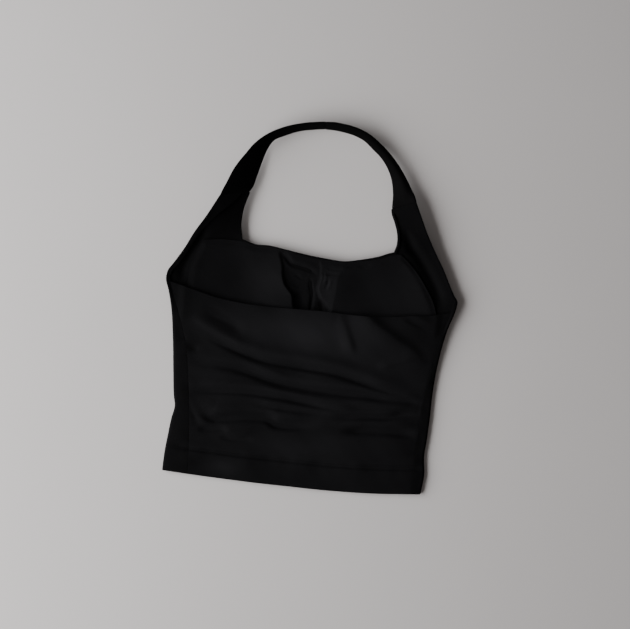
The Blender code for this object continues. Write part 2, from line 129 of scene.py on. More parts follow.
# %% [markdown]
# ## The outline
#
# These tables give the outline of the top as it lies: the side folds up to the underarm, the armhole
# edges, the inner edges beside the neck, the neckline, the hem and the back panel's top edge. The cloth
# lies a little unevenly, so left and right differ. A Bezier curve could be drawn instead, but in a table
# each point stays a number that can be checked against the real top and moved.

# %% Outline tables
OUTLINE = table_of(
    Side,
    (5, -160.5, 151.5), (28, -159.5, 154.0), (52, -157.0, 152.0), (70, -154.8, 153.5),
    (87, -152.0, 154.4), (96, -153.8, 154.8), (126, -157.2, 155.5), (166, -161.2, 159.2),
    (206, -166.8, 167.0), (226, -172.0, 173.5), (234, -174.8, 175.2), (240, -175.4, 175.3),
    (247, -174.2, 170.8), (256, -168.4, 166.0), (276, -156.2, 155.8), (296, -146.0, 144.0),
    (316, -133.5, 133.2), (336, -122.8, 124.0), (356, -112.0, 115.0),
)
NECK_SIDES = table_of(
    Side,
    (292, -88.0, 94.5), (300, -89.6, 96.8), (308, -91.0, 97.2), (318, -91.0, 95.6),
    (328, -90.0, 92.2), (338, -87.6, 88.0), (350, -83.8, 87.0),
)
NECKLINE = table_of(
    Edge,
    (-152, 286.0), (-120, 290.0), (-88, 292.0), (-74, 287.7), (-54, 287.2), (-34, 284.0),
    (-4, 279.4), (16, 277.4), (36, 276.2), (56, 280.0), (76, 285.2), (94, 292.0), (120, 290.0),
    (150, 286.0),
)
HEM = table_of(
    Edge,
    (-160, 7.2), (-104, 4.0), (-64, 2.2), (-4, 0.7), (56, 0.0), (96, 1.2), (152, 5.2),
)
BACK_TOP = table_of(
    Edge,
    (-172, 235.0), (-152, 230.2), (-113, 220.2), (-81, 215.8), (-50, 214.4), (-15, 214.3),
    (23, 214.3), (54, 213.0), (83, 213.6), (117, 217.4), (152, 221.8), (170, 226.0),
)
SIDE_SEAMS = table_of(
    Side,
    (0, -129.0, 139.5), (59, -132.0, 141.0), (110, -137.2, 144.0), (159, -144.5, 151.0),
    (200, -157.5, 160.2), (226, -167.4, 168.0), (241, -171.4, 171.8),
)
ARMHOLE_TURN = table_of(
    Side,
    (238, 4.0, 4.0), (256, 6.5, 7.0), (276, 6.5, 9.0), (300, 8.5, 12.5), (316, 13.0, 18.0),
    (334, 24.5, 25.0), (356, 29.0, 29.0),
)
print("widest, mm:", max(row.right - row.left for row in OUTLINE))

# %% [markdown]
# ## How high the cloth lies
#
# The front panel touches the table over most of its length. It lifts towards both underarms and the
# neckline, where the padding and the standing neck loop hold it up. The tables hold those heights. A
# cloth simulation finds heights too, but they would be those of another top and not of this one.

# %% Heights of the front panel
INWARD = {"left": 1, "right": -1}  # the way from each side to the middle
SIDE_REACH = 85.0  # how far in from its side edge the cloth is lifted
NECK_LIFT, NECK_REACH = 6.0, 56.0
EDGE_LIFT = table_of(
    Side,
    (0, 0.0, 0.0), (110, 0.0, 0.0), (150, 0.6, 0.6), (180, 2.4, 2.4), (210, 4.5, 4.3),
    (240, 7.2, 6.8), (290, 9.2, 8.6),
)
FOLD_DEPTH = table_of(
    Level,
    (0, 5.0), (180, 5.0), (215, 4.4), (240, 3.2), (356, 3.0),
)


def side_lift(side, x, y):
    from_edge = INWARD[side] * (x - curve(OUTLINE, side, y))
    return np.maximum(curve(EDGE_LIFT, side, y), 0) * bowl(1 - from_edge / SIDE_REACH)


def front_lift(x, y):
    """Height of the front panel's lower face above the table."""
    sides = side_lift("left", x, y) + side_lift("right", x, y)
    neck = NECK_LIFT * bowl(1 - (curve(NECKLINE, "y", x) - y) / NECK_REACH)
    return np.cbrt(sides**3 + neck**3)


print("underarm lift, mm:", np.round(front_lift(np.array([-175.0, 175.0]), np.array([240.0, 240.0])), 1))

# %% [markdown]
# ## Folds
#
# A fold in thin jersey isn't a round ditch. Its lower wall drops steeply and its upper wall climbs back
# gently, often to a low ridge, and it fades out at both ends. So a fold here is a path with a depth, a
# short width below, a longer one above, and the height of that ridge. A negative depth turns the whole
# fold into a ridge. The path is smoothed first, and a slow wave along it makes the depth uneven. Folds
# could be sculpted as well, but a path can be laid exactly where the real cloth is creased.

# %% Folds
Fold = namedtuple("Fold", "path depth below above ridge", defaults=(0.0,))
Station = namedtuple("Station", "place x y")
PATH_POINTS = 22
FADE = 3.5  # a fold is fully deep after 1 / FADE of its length
UNEVEN, UNEVEN_RUN = 0.18, 17
RIDGE_AWAY, RIDGE_WIDTH = 1.7, 1.1  # measured in widths of the wall above


def smooth_path(path):
    stations = [Station(index, *point) for index, point in enumerate(path)]
    places = np.linspace(0, len(path) - 1, PATH_POINTS)
    return np.stack([curve(stations, "x", places), curve(stations, "y", places)], axis=1)


def run_along(path):
    """Length run at each point of a path."""
    return np.concatenate([[0.0], np.cumsum(np.linalg.norm(np.diff(path, axis=0), axis=1))])


def beside_path(path, run, x, y):
    """How far each place is above or below a path, and how far along it."""
    nearest = np.full_like(x, np.inf)
    offset, along = np.zeros_like(x), np.zeros_like(x)
    for start, end, run_start in zip(path, path[1:], run):
        step = end - start
        length = np.linalg.norm(step)
        share = ((x - start[0]) * step[0] + (y - start[1]) * step[1]) / length**2
        share = np.clip(share, 0.0, 1.0)
        away_x, away_y = x - start[0] - share * step[0], y - start[1] - share * step[1]
        distance = np.hypot(away_x, away_y)
        side = np.sign(step[0] * away_y - step[1] * away_x)
        closer = distance < nearest
        nearest = np.where(closer, distance, nearest)
        offset = np.where(closer, distance * side, offset)
        along = np.where(closer, run_start + share * length, along)
    return offset, along


def fold_relief(folds, x, y):
    """Height that a table's folds add at a place."""
    relief = np.zeros_like(x)
    for fold in folds:
        path = smooth_path(fold.path)
        run = run_along(path)
        offset, along = beside_path(path, run, x, y)
        fade = smoothstep(FADE * np.minimum(along, run[-1] - along) / run[-1])
        fade = fade * (1 + UNEVEN * np.sin(along / UNEVEN_RUN + path[0, 1]))
        width = np.where(offset < 0, fold.below, fold.above)
        ridge = fold.ridge * bump(offset - RIDGE_AWAY * fold.above, RIDGE_WIDTH * fold.above)
        relief += fade * (ridge - fold.depth * bump(offset, width))
    return relief


SAMPLE = Fold(((0, 0), (50, 0), (100, 0)), 2.0, 3.0, 6.0, 1.0)
across_it = np.array([-6.0, -3.0, 0.0, 6.0, 12.0])
print("across a fold, mm:", np.round(fold_relief([SAMPLE], np.full(5, 50.0), across_it), 1))

# %% [markdown]
# ## Nothing is quite even
#
# Cloth that has been worn and laid down has faint swells everywhere, and a sewn line pulls it into short
# puckers. Both are sums of a few waves whose lengths don't fit each other, so they never seem to repeat
# and still come out the same each time.

# %% Swells and puckers
Wave = namedtuple("Wave", "angle length size phase")
SWELLS = table_of(
    Wave,
    (0.35, 61.0, 0.34, 0.4), (1.25, 47.0, 0.30, 2.1), (2.20, 38.0, 0.16, 4.4),
    (1.75, 23.0, 0.06, 1.3), (0.80, 17.0, 0.035, 5.2),
)


def swells(x, y):
    height = np.zeros_like(x)
    for wave in SWELLS:
        run = x * np.cos(wave.angle) + y * np.sin(wave.angle)
        height += wave.size * np.sin(2 * np.pi * run / wave.length + wave.phase)
    return height


Ripple = namedtuple("Ripple", "rate size phase")
RIPPLES = table_of(Ripple, (1.0, 1.0, 0.0), (0.618, 0.7, 1.1), (1.73, 0.5, 2.6))


def puckers(run, pitch):
    """Uneven ripples along a sewn line, between -1 and 1."""
    turn = 2 * np.pi * run / pitch
    ripples = sum(ripple.size * np.sin(turn * ripple.rate + ripple.phase) for ripple in RIPPLES)
    return ripples / sum(ripple.size for ripple in RIPPLES)


print("highest swell, mm:", round(sum(wave.size for wave in SWELLS), 2))

# %% [markdown]
# ## From points to cloth
#
# Every panel is made alike. A surface gives rows and columns of points; relief moves each point along
# the surface's normal; a grid mesh takes those points. Its UV map is the piece laid flat, in metres,
# worked out from the lengths along the rows and columns. Knit and grain follow that map, so they bend
# with the cloth.

# %% Surfaces
SMALLEST = 1e-9  # keeps points of no area, such as those in the neck opening, out of a division


def normals_of(face):
    """Unit normals of a net of points, from its rows and columns."""
    normal = np.cross(np.gradient(face, axis=1), np.gradient(face, axis=0))
    return normal / np.maximum(np.linalg.norm(normal, axis=2, keepdims=True), SMALLEST)


def flat_cut(face):
    """Where each point of a net lies once the piece is flat on the cutting table."""
    across = np.linalg.norm(np.diff(face, axis=1), axis=2).cumsum(axis=1)
    across = np.concatenate([np.zeros((len(face), 1)), across], axis=1)
    across -= across[:, face.shape[1] // 2][:, None]
    up = np.linalg.norm(np.diff(face, axis=0), axis=2).cumsum(axis=0)
    up = np.concatenate([np.zeros((1, face.shape[1])), up])
    return np.stack([across, up], axis=2) * MM


def area_of(face):
    """Area of a net of points, in square metres."""
    corner = face[:-1, :-1]
    cells = np.cross(face[:-1, 1:] - corner, face[1:, :-1] - corner)
    return float(np.linalg.norm(cells, axis=2).sum()) * MM * MM


def net(place, columns, rows):
    """A surface's points as rows of columns."""
    row, column = np.mgrid[0 : rows + 1, 0 : columns + 1]
    points = place(column.ravel(), row.ravel())
    return np.asarray(points).reshape(rows + 1, columns + 1, 3)


def table_top(column, row):
    return np.stack([column * 10.0, row * 10.0, row * 0.0], axis=1)


print("area of a flat net, 100 by 50 mm:", round(area_of(net(table_top, 10, 5)), 6), "m²")

# %% [markdown]
# The grid itself is Blender's own. Its corners are moved onto the net, and the UV map is written while
# each corner still has its row and column. A tube is a grid whose first and last columns meet, so it is
# welded there afterwards.

# %% Cloth mesh
HALF = 0.5  # the grid is made one metre wide, about its middle
WELD = 0.01


def cloth_shape(face, hole=None, tube=False):
    rows, columns = face.shape[0] - 1, face.shape[1] - 1
    shape = bmesh.new()
    bmesh.ops.create_grid(shape, x_segments=columns, y_segments=rows, size=HALF)
    if hole:
        middles = [(cell, cell.calc_center_median()) for cell in shape.faces]
        removed = [cell for cell, at in middles if hole(at.x + HALF, at.y + HALF)]
        bmesh.ops.delete(shape, geom=removed, context="FACES")
    flat, points = flat_cut(face), to_world(face)
    uv = shape.loops.layers.uv.new("cut")
    across, up = shape.verts.layers.float.new("across"), shape.verts.layers.float.new("up")
    in_row, in_column = shape.verts.layers.int.new("row"), shape.verts.layers.int.new("column")
    for vert in shape.verts:
        row, column = round((vert.co.y + HALF) * rows), round((vert.co.x + HALF) * columns)
        vert[in_row], vert[in_column] = row, column
        vert.co = points[row, column]
        vert[across], vert[up] = flat[row, column]
    lay_flat(shape.faces, uv, across, up)
    if tube:
        bmesh.ops.remove_doubles(shape, verts=shape.verts, dist=WELD * MM)
    shape.normal_update()
    return shape


def lay_flat(cells, uv, across, up):
    for cell in cells:
        for loop in cell.loops:
            loop[uv].uv = (loop.vert[across], loop.vert[up])


# %% [markdown]
# ## Turned edges
#
# A sewn garment has no raw edges: hems, neckline and armholes are turned to the inside. The edge of the
# mesh is extruded a few times, and each new row is moved one step further round a small half circle and
# then back along the inner face. The UV map goes on round the turn. A bevel on the rim would round it
# too, but it wouldn't double the cloth.

# %% Turned edges
TURN_STEPS = 5
TUCK_ROWS = (0.5, 1.0)
SHARPEST = 0.6  # keeps a corner's point from being drawn out too far


def way_out(vert, chain):
    """Direction in which a free edge faces, at one of its points."""
    middle = sum((cell.calc_center_median() for cell in vert.link_faces), Vector())
    away = vert.co - middle / len(vert.link_faces)
    sides = []
    for edge in vert.link_edges:
        if edge in chain:
            side = (edge.other_vert(vert).co - vert.co).cross(vert.normal).normalized()
            sides.append(-side if side.dot(away) < 0 else side)
    outward = sum(sides, Vector()).normalized()
    return outward / max(outward.dot(sides[0]), SHARPEST)


def turned_edge(shape, edges, radius, tuck):
    """Rolls a free edge round to the inner face and tucks it in."""
    uv = shape.loops.layers.uv["cut"]
    across, up = shape.verts.layers.float["across"], shape.verts.layers.float["up"]
    chain = set(edges)
    starts = {}
    for vert in {vert for edge in edges for vert in edge.verts}:
        at = Vector((vert[across], vert[up]))
        inner = [other for cell in vert.link_faces for other in cell.verts]
        flow = at - sum((Vector((v[across], v[up])) for v in inner), Vector((0, 0))) / len(inner)
        outward = way_out(vert, chain)
        starts[vert] = (vert.co.copy(), outward, vert.normal.copy(), at, flow.normalized())
    turn = np.pi * np.arange(1, TURN_STEPS + 1) / TURN_STEPS
    rows = [(np.sin(a) * radius, (1 - np.cos(a)) * radius, a * radius) for a in turn]
    rows += [(-step * tuck, 2 * radius, np.pi * radius + step * tuck) for step in TUCK_ROWS]
    cells = []
    for out, down, run in rows:
        made = bmesh.ops.extrude_edge_only(shape, edges=edges)["geom"]
        cells += [item for item in made if isinstance(item, bmesh.types.BMFace)]
        edges = [item for item in made if isinstance(item, bmesh.types.BMEdge)]
        fresh = {}
        for vert in (item for item in made if isinstance(item, bmesh.types.BMVert)):
            others = (edge.other_vert(vert) for edge in vert.link_edges)
            fresh[vert] = starts[next(other for other in others if other in starts)]
        edges = [edge for edge in edges if all(vert in fresh for vert in edge.verts)]
        for vert, (base, outward, normal, at, flow) in fresh.items():
            vert.co = base + (outward * out - normal * down) * MM
            vert[across], vert[up] = at + flow * run * MM
        starts = fresh
    lay_flat(cells, uv, across, up)
    shape.normal_update()


def border(shape, chosen):
    """Edges of the mesh's border whose two ends have a row and a column that are asked for."""
    row, column = shape.verts.layers.int["row"], shape.verts.layers.int["column"]
    edges = [edge for edge in shape.edges if edge.is_boundary]
    return [edge for edge in edges if all(chosen(vert[row], vert[column]) for vert in edge.verts)]


# %% [markdown]
# ## Finished pieces
#
# A finished piece is a shell with a wall. Solidify grows the wall inwards, and a vertex group can make
# it thinner where a pad runs out. Free edges are marked sharp, or the shading would smear round them.
# A point attribute holds painted light and shade: it lightens the jersey's colour where light catches the
# cloth and darkens it where the cloth lies in shade. Every piece rides on the frame's one body.

# %% Finishing a piece
PaintedLight = namedtuple("PaintedLight", "x y wide high share")


def mesh_of(name, shape, material):
    mesh = bpy.data.meshes.new(name)
    shape.to_mesh(mesh)
    shape.free()
    mesh.materials.append(material)
    return mesh


def placed(name, data):
    made = bpy.data.objects.new(name, data)
    bpy.context.scene.collection.objects.link(made)
    return made


# Writes the painted light and shade: a spot lightens the colour where its share is above zero and darkens
# it below.
def write_painted_light(mesh, spots):
    places = np.empty(3 * len(mesh.vertices))
    mesh.vertices.foreach_get("co", places)
    x, y, _ = places.reshape(-1, 3).T / MM
    y = y + LENGTH / 2
    shares = sum(at.share * bump(x - at.x, at.wide) * bump(y - at.y, at.high) for at in spots)
    mesh.attributes.new("painted_light", "FLOAT", "POINT").data.foreach_set("value", shares)


def grow_wall(piece, wall, padding):
    """Gives a piece its thickness; padding holds each point's share of it."""
    solid = piece.modifiers.new("wall", "SOLIDIFY")
    solid.thickness = wall * MM
    solid.offset = -1.0
    if padding is not None:
        group = piece.vertex_groups.new(name="padding")
        for index, share in enumerate(padding):
            group.add([index], float(share), "REPLACE")
        solid.vertex_group = "padding"
        solid.thickness_vertex_group = 0.0


def finished(name, shape, material, wall=JERSEY, padding=None, painted_light=()):
    for cell in shape.faces:
        cell.smooth = True
    for edge in shape.edges:
        edge.smooth = not edge.is_boundary
    mesh = mesh_of(name, shape, material)
    if painted_light:
        write_painted_light(mesh, painted_light)
    piece = placed(name, mesh)
    if wall:
        grow_wall(piece, wall, padding)
    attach(piece, "root")
    print(f"{name}: {len(mesh.vertices)} points, {len(mesh.polygons)} faces")
    return piece


# %% [markdown]
# ## Materials
#
# Shader maths reads best as sums. `Value` wraps one socket, and each sum on it adds a Math node. Every
# other node comes from `Graph.add`, which sets a node up, fills its sockets, and returns a `Value`.

# %% Node sums
class Value:
    """One socket of a material's nodes, for use in sums."""

    def __init__(self, graph, socket):
        self.graph, self.socket = graph, socket

    def math(self, operation, *values):
        return self.graph.add("ShaderNodeMath", {"operation": operation}, dict(enumerate(values)))

    def __add__(self, other):
        return self.math("ADD", self, other)

    def __sub__(self, other):
        return self.math("SUBTRACT", self, other)

    def __rsub__(self, other):
        return self.math("SUBTRACT", other, self)

    def __mul__(self, other):
        return self.math("MULTIPLY", self, other)

    __radd__, __rmul__ = __add__, __mul__

    def __abs__(self):
        return self.math("ABSOLUTE", self)

    def sine(self):
        return self.math("SINE", self)

    def fraction(self):
        return self.math("FRACT", self)


class Graph:
    """A material with a Principled shader, whose constants are set first."""

    def __init__(self, name, constants):
        self.material = bpy.data.materials.new(name)
        self.material.use_nodes = True
        self.nodes, self.links = self.material.node_tree.nodes, self.material.node_tree.links
        self.shader = self.nodes["Principled BSDF"]
        self.fill(self.shader, constants)

    def fill(self, node, values):
        for name, value in values.items():
            if isinstance(value, Value):
                self.links.new(value.socket, node.inputs[name])
            else:
                node.inputs[name].default_value = value

    def add(self, kind, settings=None, inputs=None, output=0):
        node = self.nodes.new(kind)
        for name, value in (settings or {}).items():
            setattr(node, name, value)
        self.fill(node, inputs or {})
        return Value(self, node.outputs[output])

    def place(self):
        return self.add("ShaderNodeTexCoord", None, None, "Object")

    def noise(self, where, scale, detail):
        return self.add("ShaderNodeTexNoise", None, {"Vector": where, "Scale": scale, "Detail": detail})

    def shade(self, low, high, share):
        """A colour between two greys or tints."""
        settings = {"data_type": "RGBA"}
        mixed = self.add("ShaderNodeMix", settings, {"Factor": share, 6: (*low, 1), 7: (*high, 1)}, 2)
        self.links.new(mixed.socket, self.shader.inputs["Base Color"])

    def relief(self, height, distance, strength=1.0):
        values = {"Strength": strength, "Distance": distance, "Height": height}
        self.fill(self.shader, {"Normal": self.add("ShaderNodeBump", None, values)})


# %% [markdown]
# ## Jersey
#
# Jersey is a weft knit. On its face each stitch is a small V, and the Vs stand over each other in
# columns called wales. The bump below draws two slanting legs to a wale from the UV map. The wale is
# a little under a millimetre wide, so it melts into an even, slightly soft surface from a step away.
# A point attribute adds painted light and shade to the colour. Above zero the cloth is painted greyer where
# light catches it, below zero blacker where it lies in shade, and it is a little smoother there. The
# straps' jersey is a shade darker still, which is painted shade too. The lining is a finer knit. All
# colours are scene-linear, and close to black. A picture of knit would do as well, but it blurs from close
# by and repeats, and sums do neither.

# %% Jersey
PATCH_SCALE, FIBRE_SCALE = 28.0, 1900.0
LEG_SLANT = 1.3
KNIT_DEPTH = 0.00016
# How far the painted light and shade move the jersey's colour, and how much smoother the same spots are.
PAINTED_LIGHT_SHARE, PAINTED_LIGHT_SMOOTHS = 0.7, 0.08


def jersey(name, wale, course, dark, bright, roughness, ior):
    graph = Graph(name, {"Metallic": 0.0, "IOR": ior})
    cut = graph.add("ShaderNodeUVMap", {"uv_map": "cut"})
    across = graph.add("ShaderNodeSeparateXYZ", None, {0: cut}, 0)
    up = graph.add("ShaderNodeSeparateXYZ", None, {0: cut}, 1)
    side = abs((across * (1 / wale)).fraction() - 0.5)
    legs = (side * (2 * np.pi)).sine()
    stitch = ((up * (1 / course) + side * LEG_SLANT) * (2 * np.pi)).sine() * 0.5 + 0.5
    painted_light = graph.add("ShaderNodeAttribute", {"attribute_name": "painted_light"}, None, "Fac")
    patches = graph.noise(graph.place(), PATCH_SCALE, 3.0)
    fibres = graph.noise(graph.place(), FIBRE_SCALE, 1.0)
    knit = legs * (stitch * 0.6 + 0.4)
    # Knit, patches and fibres are the cloth's own tone; the point attribute adds painted light and shade on
    # top.
    graph.shade(dark, bright, knit * 0.08 + patches * 0.12 + fibres * 0.04 + painted_light * PAINTED_LIGHT_SHARE)
    rough = roughness + (patches - 0.5) * 0.12 - knit * 0.05 - painted_light * PAINTED_LIGHT_SMOOTHS
    graph.fill(graph.shader, {"Roughness": rough})
    graph.relief(knit + fibres * 0.25, KNIT_DEPTH, 0.6)
    return graph.material


Knit = namedtuple("Knit", "name wale course dark bright roughness ior")
KNITS = table_of(
    Knit,
    ("black jersey", 0.00085, 0.0007, (0.0016, 0.0016, 0.0018), (0.0185, 0.0185, 0.0208), 0.82, 1.12),
    # The straps' jersey: its darker colours are painted shade.
    ("slack jersey", 0.00085, 0.0007, (0.0011, 0.0011, 0.0012), (0.0145, 0.0140, 0.0150), 0.88, 1.1),
    ("black lining", 0.0006, 0.0005, (0.0031, 0.0031, 0.0035), (0.0195, 0.0195, 0.0218), 0.84, 1.12),
)
outer_jersey, strap_jersey_shaded, lining_jersey = (jersey(*knit) for knit in KNITS)
print("materials:", outer_jersey.name, strap_jersey_shaded.name, lining_jersey.name)

# %% [markdown]
# ## The course of the neck loop
#
# The loop is two straps, each a band of doubled jersey. They are sewn to the front's shoulder parts and to
# each other at the nape. A band that has to run in a circle won't lie flat: it twists, so the loop stands
# nearly upright at the nape and is why it looks so narrow from above. Each row below is one section of the
# band, along the middle of its wall. The crest is a point between its two edges. A curve with a bevel
# makes a band faster, but keeps one section all the way, and this one changes from end to end.

# %% Sections of the straps
Section = namedtuple("Section", "station outer_x outer_y outer_z inner_x inner_y inner_z crest crest_z")
LEFT_STRAP = table_of(
    Section,
    (0, -119.2, 342.0, 15.2, -84.5, 349.2, 8.0, 0.5, 11.6),
    (1, -112.3, 358.7, 16.2, -79.9, 358.1, 7.5, 0.3, 14.6),
    (2, -104.0, 377.2, 17.2, -76.0, 373.0, 7.0, 0.3, 15.2),
    (3, -93.2, 393.6, 17.6, -72.4, 387.2, 6.0, 0.3, 15.0),
    (4, -83.1, 407.2, 17.4, -67.6, 402.3, 4.6, 0.3, 14.4),
    (5, -70.4, 418.4, 17.0, -60.8, 413.8, 3.0, 0.3, 13.4),
    (6, -53.7, 427.6, 16.4, -49.6, 420.2, 1.4, 0.3, 12.4),
    (7, -33.8, 434.5, 15.8, -32.2, 427.5, 1.0, 0.3, 11.9),
    (8, -14.0, 438.3, 15.5, -13.4, 431.4, 0.9, 0.2, 13.0),
    (9, 0.0, 440.0, 15.4, 0.0, 432.7, 0.9, 0.1, 14.1),
)
RIGHT_STRAP = table_of(
    Section,
    (0, 116.2, 354.0, 13.6, 87.4, 343.4, 8.0, 0.5, 10.8),
    (1, 111.3, 365.0, 11.6, 87.0, 360.0, 8.5, 0.3, 12.6),
    (2, 103.3, 379.6, 8.4, 84.2, 376.6, 8.8, 0.28, 13.0),
    (3, 92.6, 395.4, 7.0, 77.9, 391.4, 8.6, 0.35, 12.8),
    (4, 80.2, 409.5, 8.6, 69.0, 403.6, 7.0, 0.4, 12.6),
    (5, 66.4, 421.3, 11.4, 59.2, 412.7, 4.8, 0.36, 13.0),
    (6, 50.7, 431.2, 13.8, 46.9, 423.0, 3.0, 0.34, 12.4),
    (7, 33.8, 437.0, 15.0, 32.2, 429.0, 1.3, 0.3, 11.8),
    (8, 16.0, 439.8, 15.4, 15.2, 432.0, 1.0, 0.2, 13.0),
    (9, 0.0, 440.0, 15.4, 0.0, 432.7, 0.9, 0.1, 14.1),
)
STRAPS = {"left": LEFT_STRAP, "right": RIGHT_STRAP}
CLOSED = 0.04  # what stays open in a seam that is pulled shut
print("the nape stands", LEFT_STRAP[-1].outer_z, "mm high")

# %% [markdown]
# ## The front panel
#
# The front is one piece from side seam to side seam. It lies underneath, turns up round both side folds
# and comes back over the top as far as the seams. Above the underarm its edge is turned in along the
# armhole, and the turn widens into the doubled shoulder part that the neck loop is sewn to. So its
# columns run from the left seam round the underside to the right seam, and its rows from hem to straps.

# %% Net of the front panel
WRAP_COLUMNS, ARC_COLUMNS, SHOULDER_COLUMNS, NECK_COLUMNS = 14, 10, 22, 44
BODY_ROWS, BUST_ROWS, SHOULDER_ROWS = 130, 32, 36
UNDER_COLUMNS = 2 * SHOULDER_COLUMNS + NECK_COLUMNS
SIDE_COLUMNS = WRAP_COLUMNS + ARC_COLUMNS
FRONT_COLUMNS = UNDER_COLUMNS + 2 * SIDE_COLUMNS
NECK_START = SIDE_COLUMNS + SHOULDER_COLUMNS
NECK_END = NECK_START + NECK_COLUMNS
NECK_ROW = BODY_ROWS + BUST_ROWS
FRONT_ROWS = NECK_ROW + SHOULDER_ROWS
UNDERARM = 0.839  # share of the height, up to the neckline, at which the armholes begin
SHOULDER_FOOT = 152.0
SHOULDER_CLIMB = 1.5


def front_row(row):
    """Share of the height up to the neckline, and share of the shoulder part above it."""
    share = np.interp(row, (0, BODY_ROWS, NECK_ROW), (0, UNDERARM, 1))
    return share, np.clip((row - NECK_ROW) / SHOULDER_ROWS, 0, 1)


def up_from_hem(x, top, share):
    """Height at a share of the way from the hem to another edge."""
    return mix(curve(HEM, "y", x) + ROLL, curve(top, "y", x) - ROLL, share)


def edge_point(side, share, shoulder):
    foot = -INWARD[side] * SHOULDER_FOOT
    y = mix(up_from_hem(foot, NECKLINE, share), STRAPS[side][0].outer_y - CLOSED, shoulder)
    return curve(OUTLINE, side, y), y


def inner_point(side, shoulder):
    y = mix(NECK_SIDES[0].y, STRAPS[side][0].inner_y - CLOSED, shoulder)
    return curve(NECK_SIDES, side, y) - INWARD[side] * ROLL, y


def under_point(x, share):
    y = up_from_hem(x, NECKLINE, share)
    return x, y, front_lift(x, y)


def near_side(side, distance, row):
    """Lower face of the front panel at a distance inside its left or right edge, on a row."""
    share, shoulder = front_row(row)
    outer_x, outer_y = edge_point(side, share, shoulder)
    inner_x, inner_y = inner_point(side, shoulder)
    x, y, z = under_point(outer_x + INWARD[side] * distance, share)
    across = distance / np.abs(inner_x - outer_x)
    foot_x = mix(edge_point(side, 1.0, 0.0)[0], inner_point(side, 0.0)[0], across)
    foot_z = under_point(foot_x, 1.0)[2]
    seam = STRAPS[side][0]
    seam_z = mix(seam.outer_z, seam.inner_z, across) - STRAP_WALL / 2
    above = shoulder > 0
    x = np.where(above, mix(outer_x, inner_x, across), x)
    y = np.where(above, mix(outer_y, inner_y, across), y)
    return x, y, np.where(above, mix(foot_z, seam_z, smoothstep(shoulder * SHOULDER_CLIMB)), z)


print("the left armhole begins at, mm:", np.round(edge_point("left", UNDERARM, 0.0), 1))

# %% [markdown]
# The side seams are shared: both panels end on the same line, so the gap between them stays even. A
# seam's point depends on its row and the row's height on the seam's place, so a few rounds settle them.

# %% Side seams
SETTLE = 6  # rounds


def seam_points(side):
    rows = front_row(np.arange(BODY_ROWS + 1))[0]
    x, y = edge_point(side, rows, 0.0)
    for _ in range(SETTLE):
        x = curve(SIDE_SEAMS, side, y)
        y = up_from_hem(x, NECKLINE, rows)
    return x, y


def seam_line(side, y):
    seam_x, seam_y = seam_points(side)
    return np.interp(y, seam_y, seam_x)


print("side seams at the hem, mm:", [round(float(seam_line(side, 0.0)), 1) for side in INWARD])

# %% [markdown]
# From the underside the columns turn up round a side fold on a half circle and run back over the top to
# the seam. Above the underarm the cloth slopes at its edge, so the half circle is tilted with it.

# %% Wrap round the side folds
WRAP_EASE = 1.6  # crowds the wrapped strip's columns towards its seam
FOLD_START = 0.008  # share of the width that each side fold takes
PROBE = 6.0  # run over which an edge's tilt is measured


def neck_corners():
    """Where the neck opening begins and ends, as shares of the width."""
    corner = NECK_SIDES[0]
    left, right = (edge_point(side, 1.0, 0.0)[0] for side in INWARD)
    return (corner.left - ROLL - left) / (right - left), (corner.right + ROLL - left) / (right - left)


def wrap(side, step, across, row):
    """Points beside one edge, and which of them count: side fold, wrapped strip and shoulder part."""
    share, shoulder = front_row(row)
    edge_x, edge_y = edge_point(side, share, shoulder)
    radius = curve(FOLD_DEPTH, "height", edge_y) / 2
    turn = np.pi * np.clip(step / ARC_COLUMNS, 0, 1)
    seam_x = seam_points(side)[0][np.minimum(row, BODY_ROWS)]
    width = np.where(share <= UNDERARM, np.abs(seam_x - edge_x), curve(ARMHOLE_TURN, side, edge_y))
    beyond = 1 - (1 - np.clip((step - ARC_COLUMNS) / WRAP_COLUMNS, 0, 1)) ** WRAP_EASE
    distance = np.where(step > ARC_COLUMNS, mix(radius, width, beyond), radius * (1 - np.sin(turn)))
    shoulder_width = np.abs(inner_point(side, shoulder)[0] - edge_x)
    distance = np.where(step < 0, mix(radius, shoulder_width, across), distance)
    fall = near_side(side, 0.0, row)[2] - near_side(side, PROBE, row)[2]
    tilt = np.where(share > UNDERARM, np.arctan(fall / PROBE), 0.0)
    rise = radius * (1 - np.cos(turn))
    points = np.stack(near_side(side, distance + rise * np.sin(tilt), row))
    points[2] += rise / np.cos(tilt)
    return points, (step >= 0) | ((shoulder > 0) & (across <= 1))


def front_place(column, row):
    """The front panel's outer face: underside, side folds and what wraps over to the side seams."""
    share = front_row(row)[0]
    left_x, right_x = (edge_point(side, share, 0.0)[0] for side in INWARD)
    corners = neck_corners()
    starts = (0, SHOULDER_COLUMNS, UNDER_COLUMNS - SHOULDER_COLUMNS, UNDER_COLUMNS)
    place = np.interp(column - SIDE_COLUMNS, starts, (FOLD_START, *corners, 1 - FOLD_START))
    points = np.stack(under_point(mix(left_x, right_x, place), share))
    for side, step, across in (
        ("left", SIDE_COLUMNS - column, place / corners[0]),
        ("right", column - SIDE_COLUMNS - UNDER_COLUMNS, (1 - place) / (1 - corners[1])),
    ):
        wrapped, counts = wrap(side, step, across, row)
        points = np.where(counts, wrapped, points)
    return points.T


front_face = net(front_place, FRONT_COLUMNS, FRONT_ROWS)
print("front net:", front_face.shape, "lowest", round(float(front_face[..., 2].min()), 2), "mm")

# %% [markdown]
# ### What sewing does to it
#
# A side seam pulls its edge down into a narrow groove with short puckers beside it. The hem is turned up
# inside and held by two rows of stitches, which press a double line into the cloth 33 mm above the edge.
# Both panels share a seam, so its puckers are worked out from the same places and agree across it.

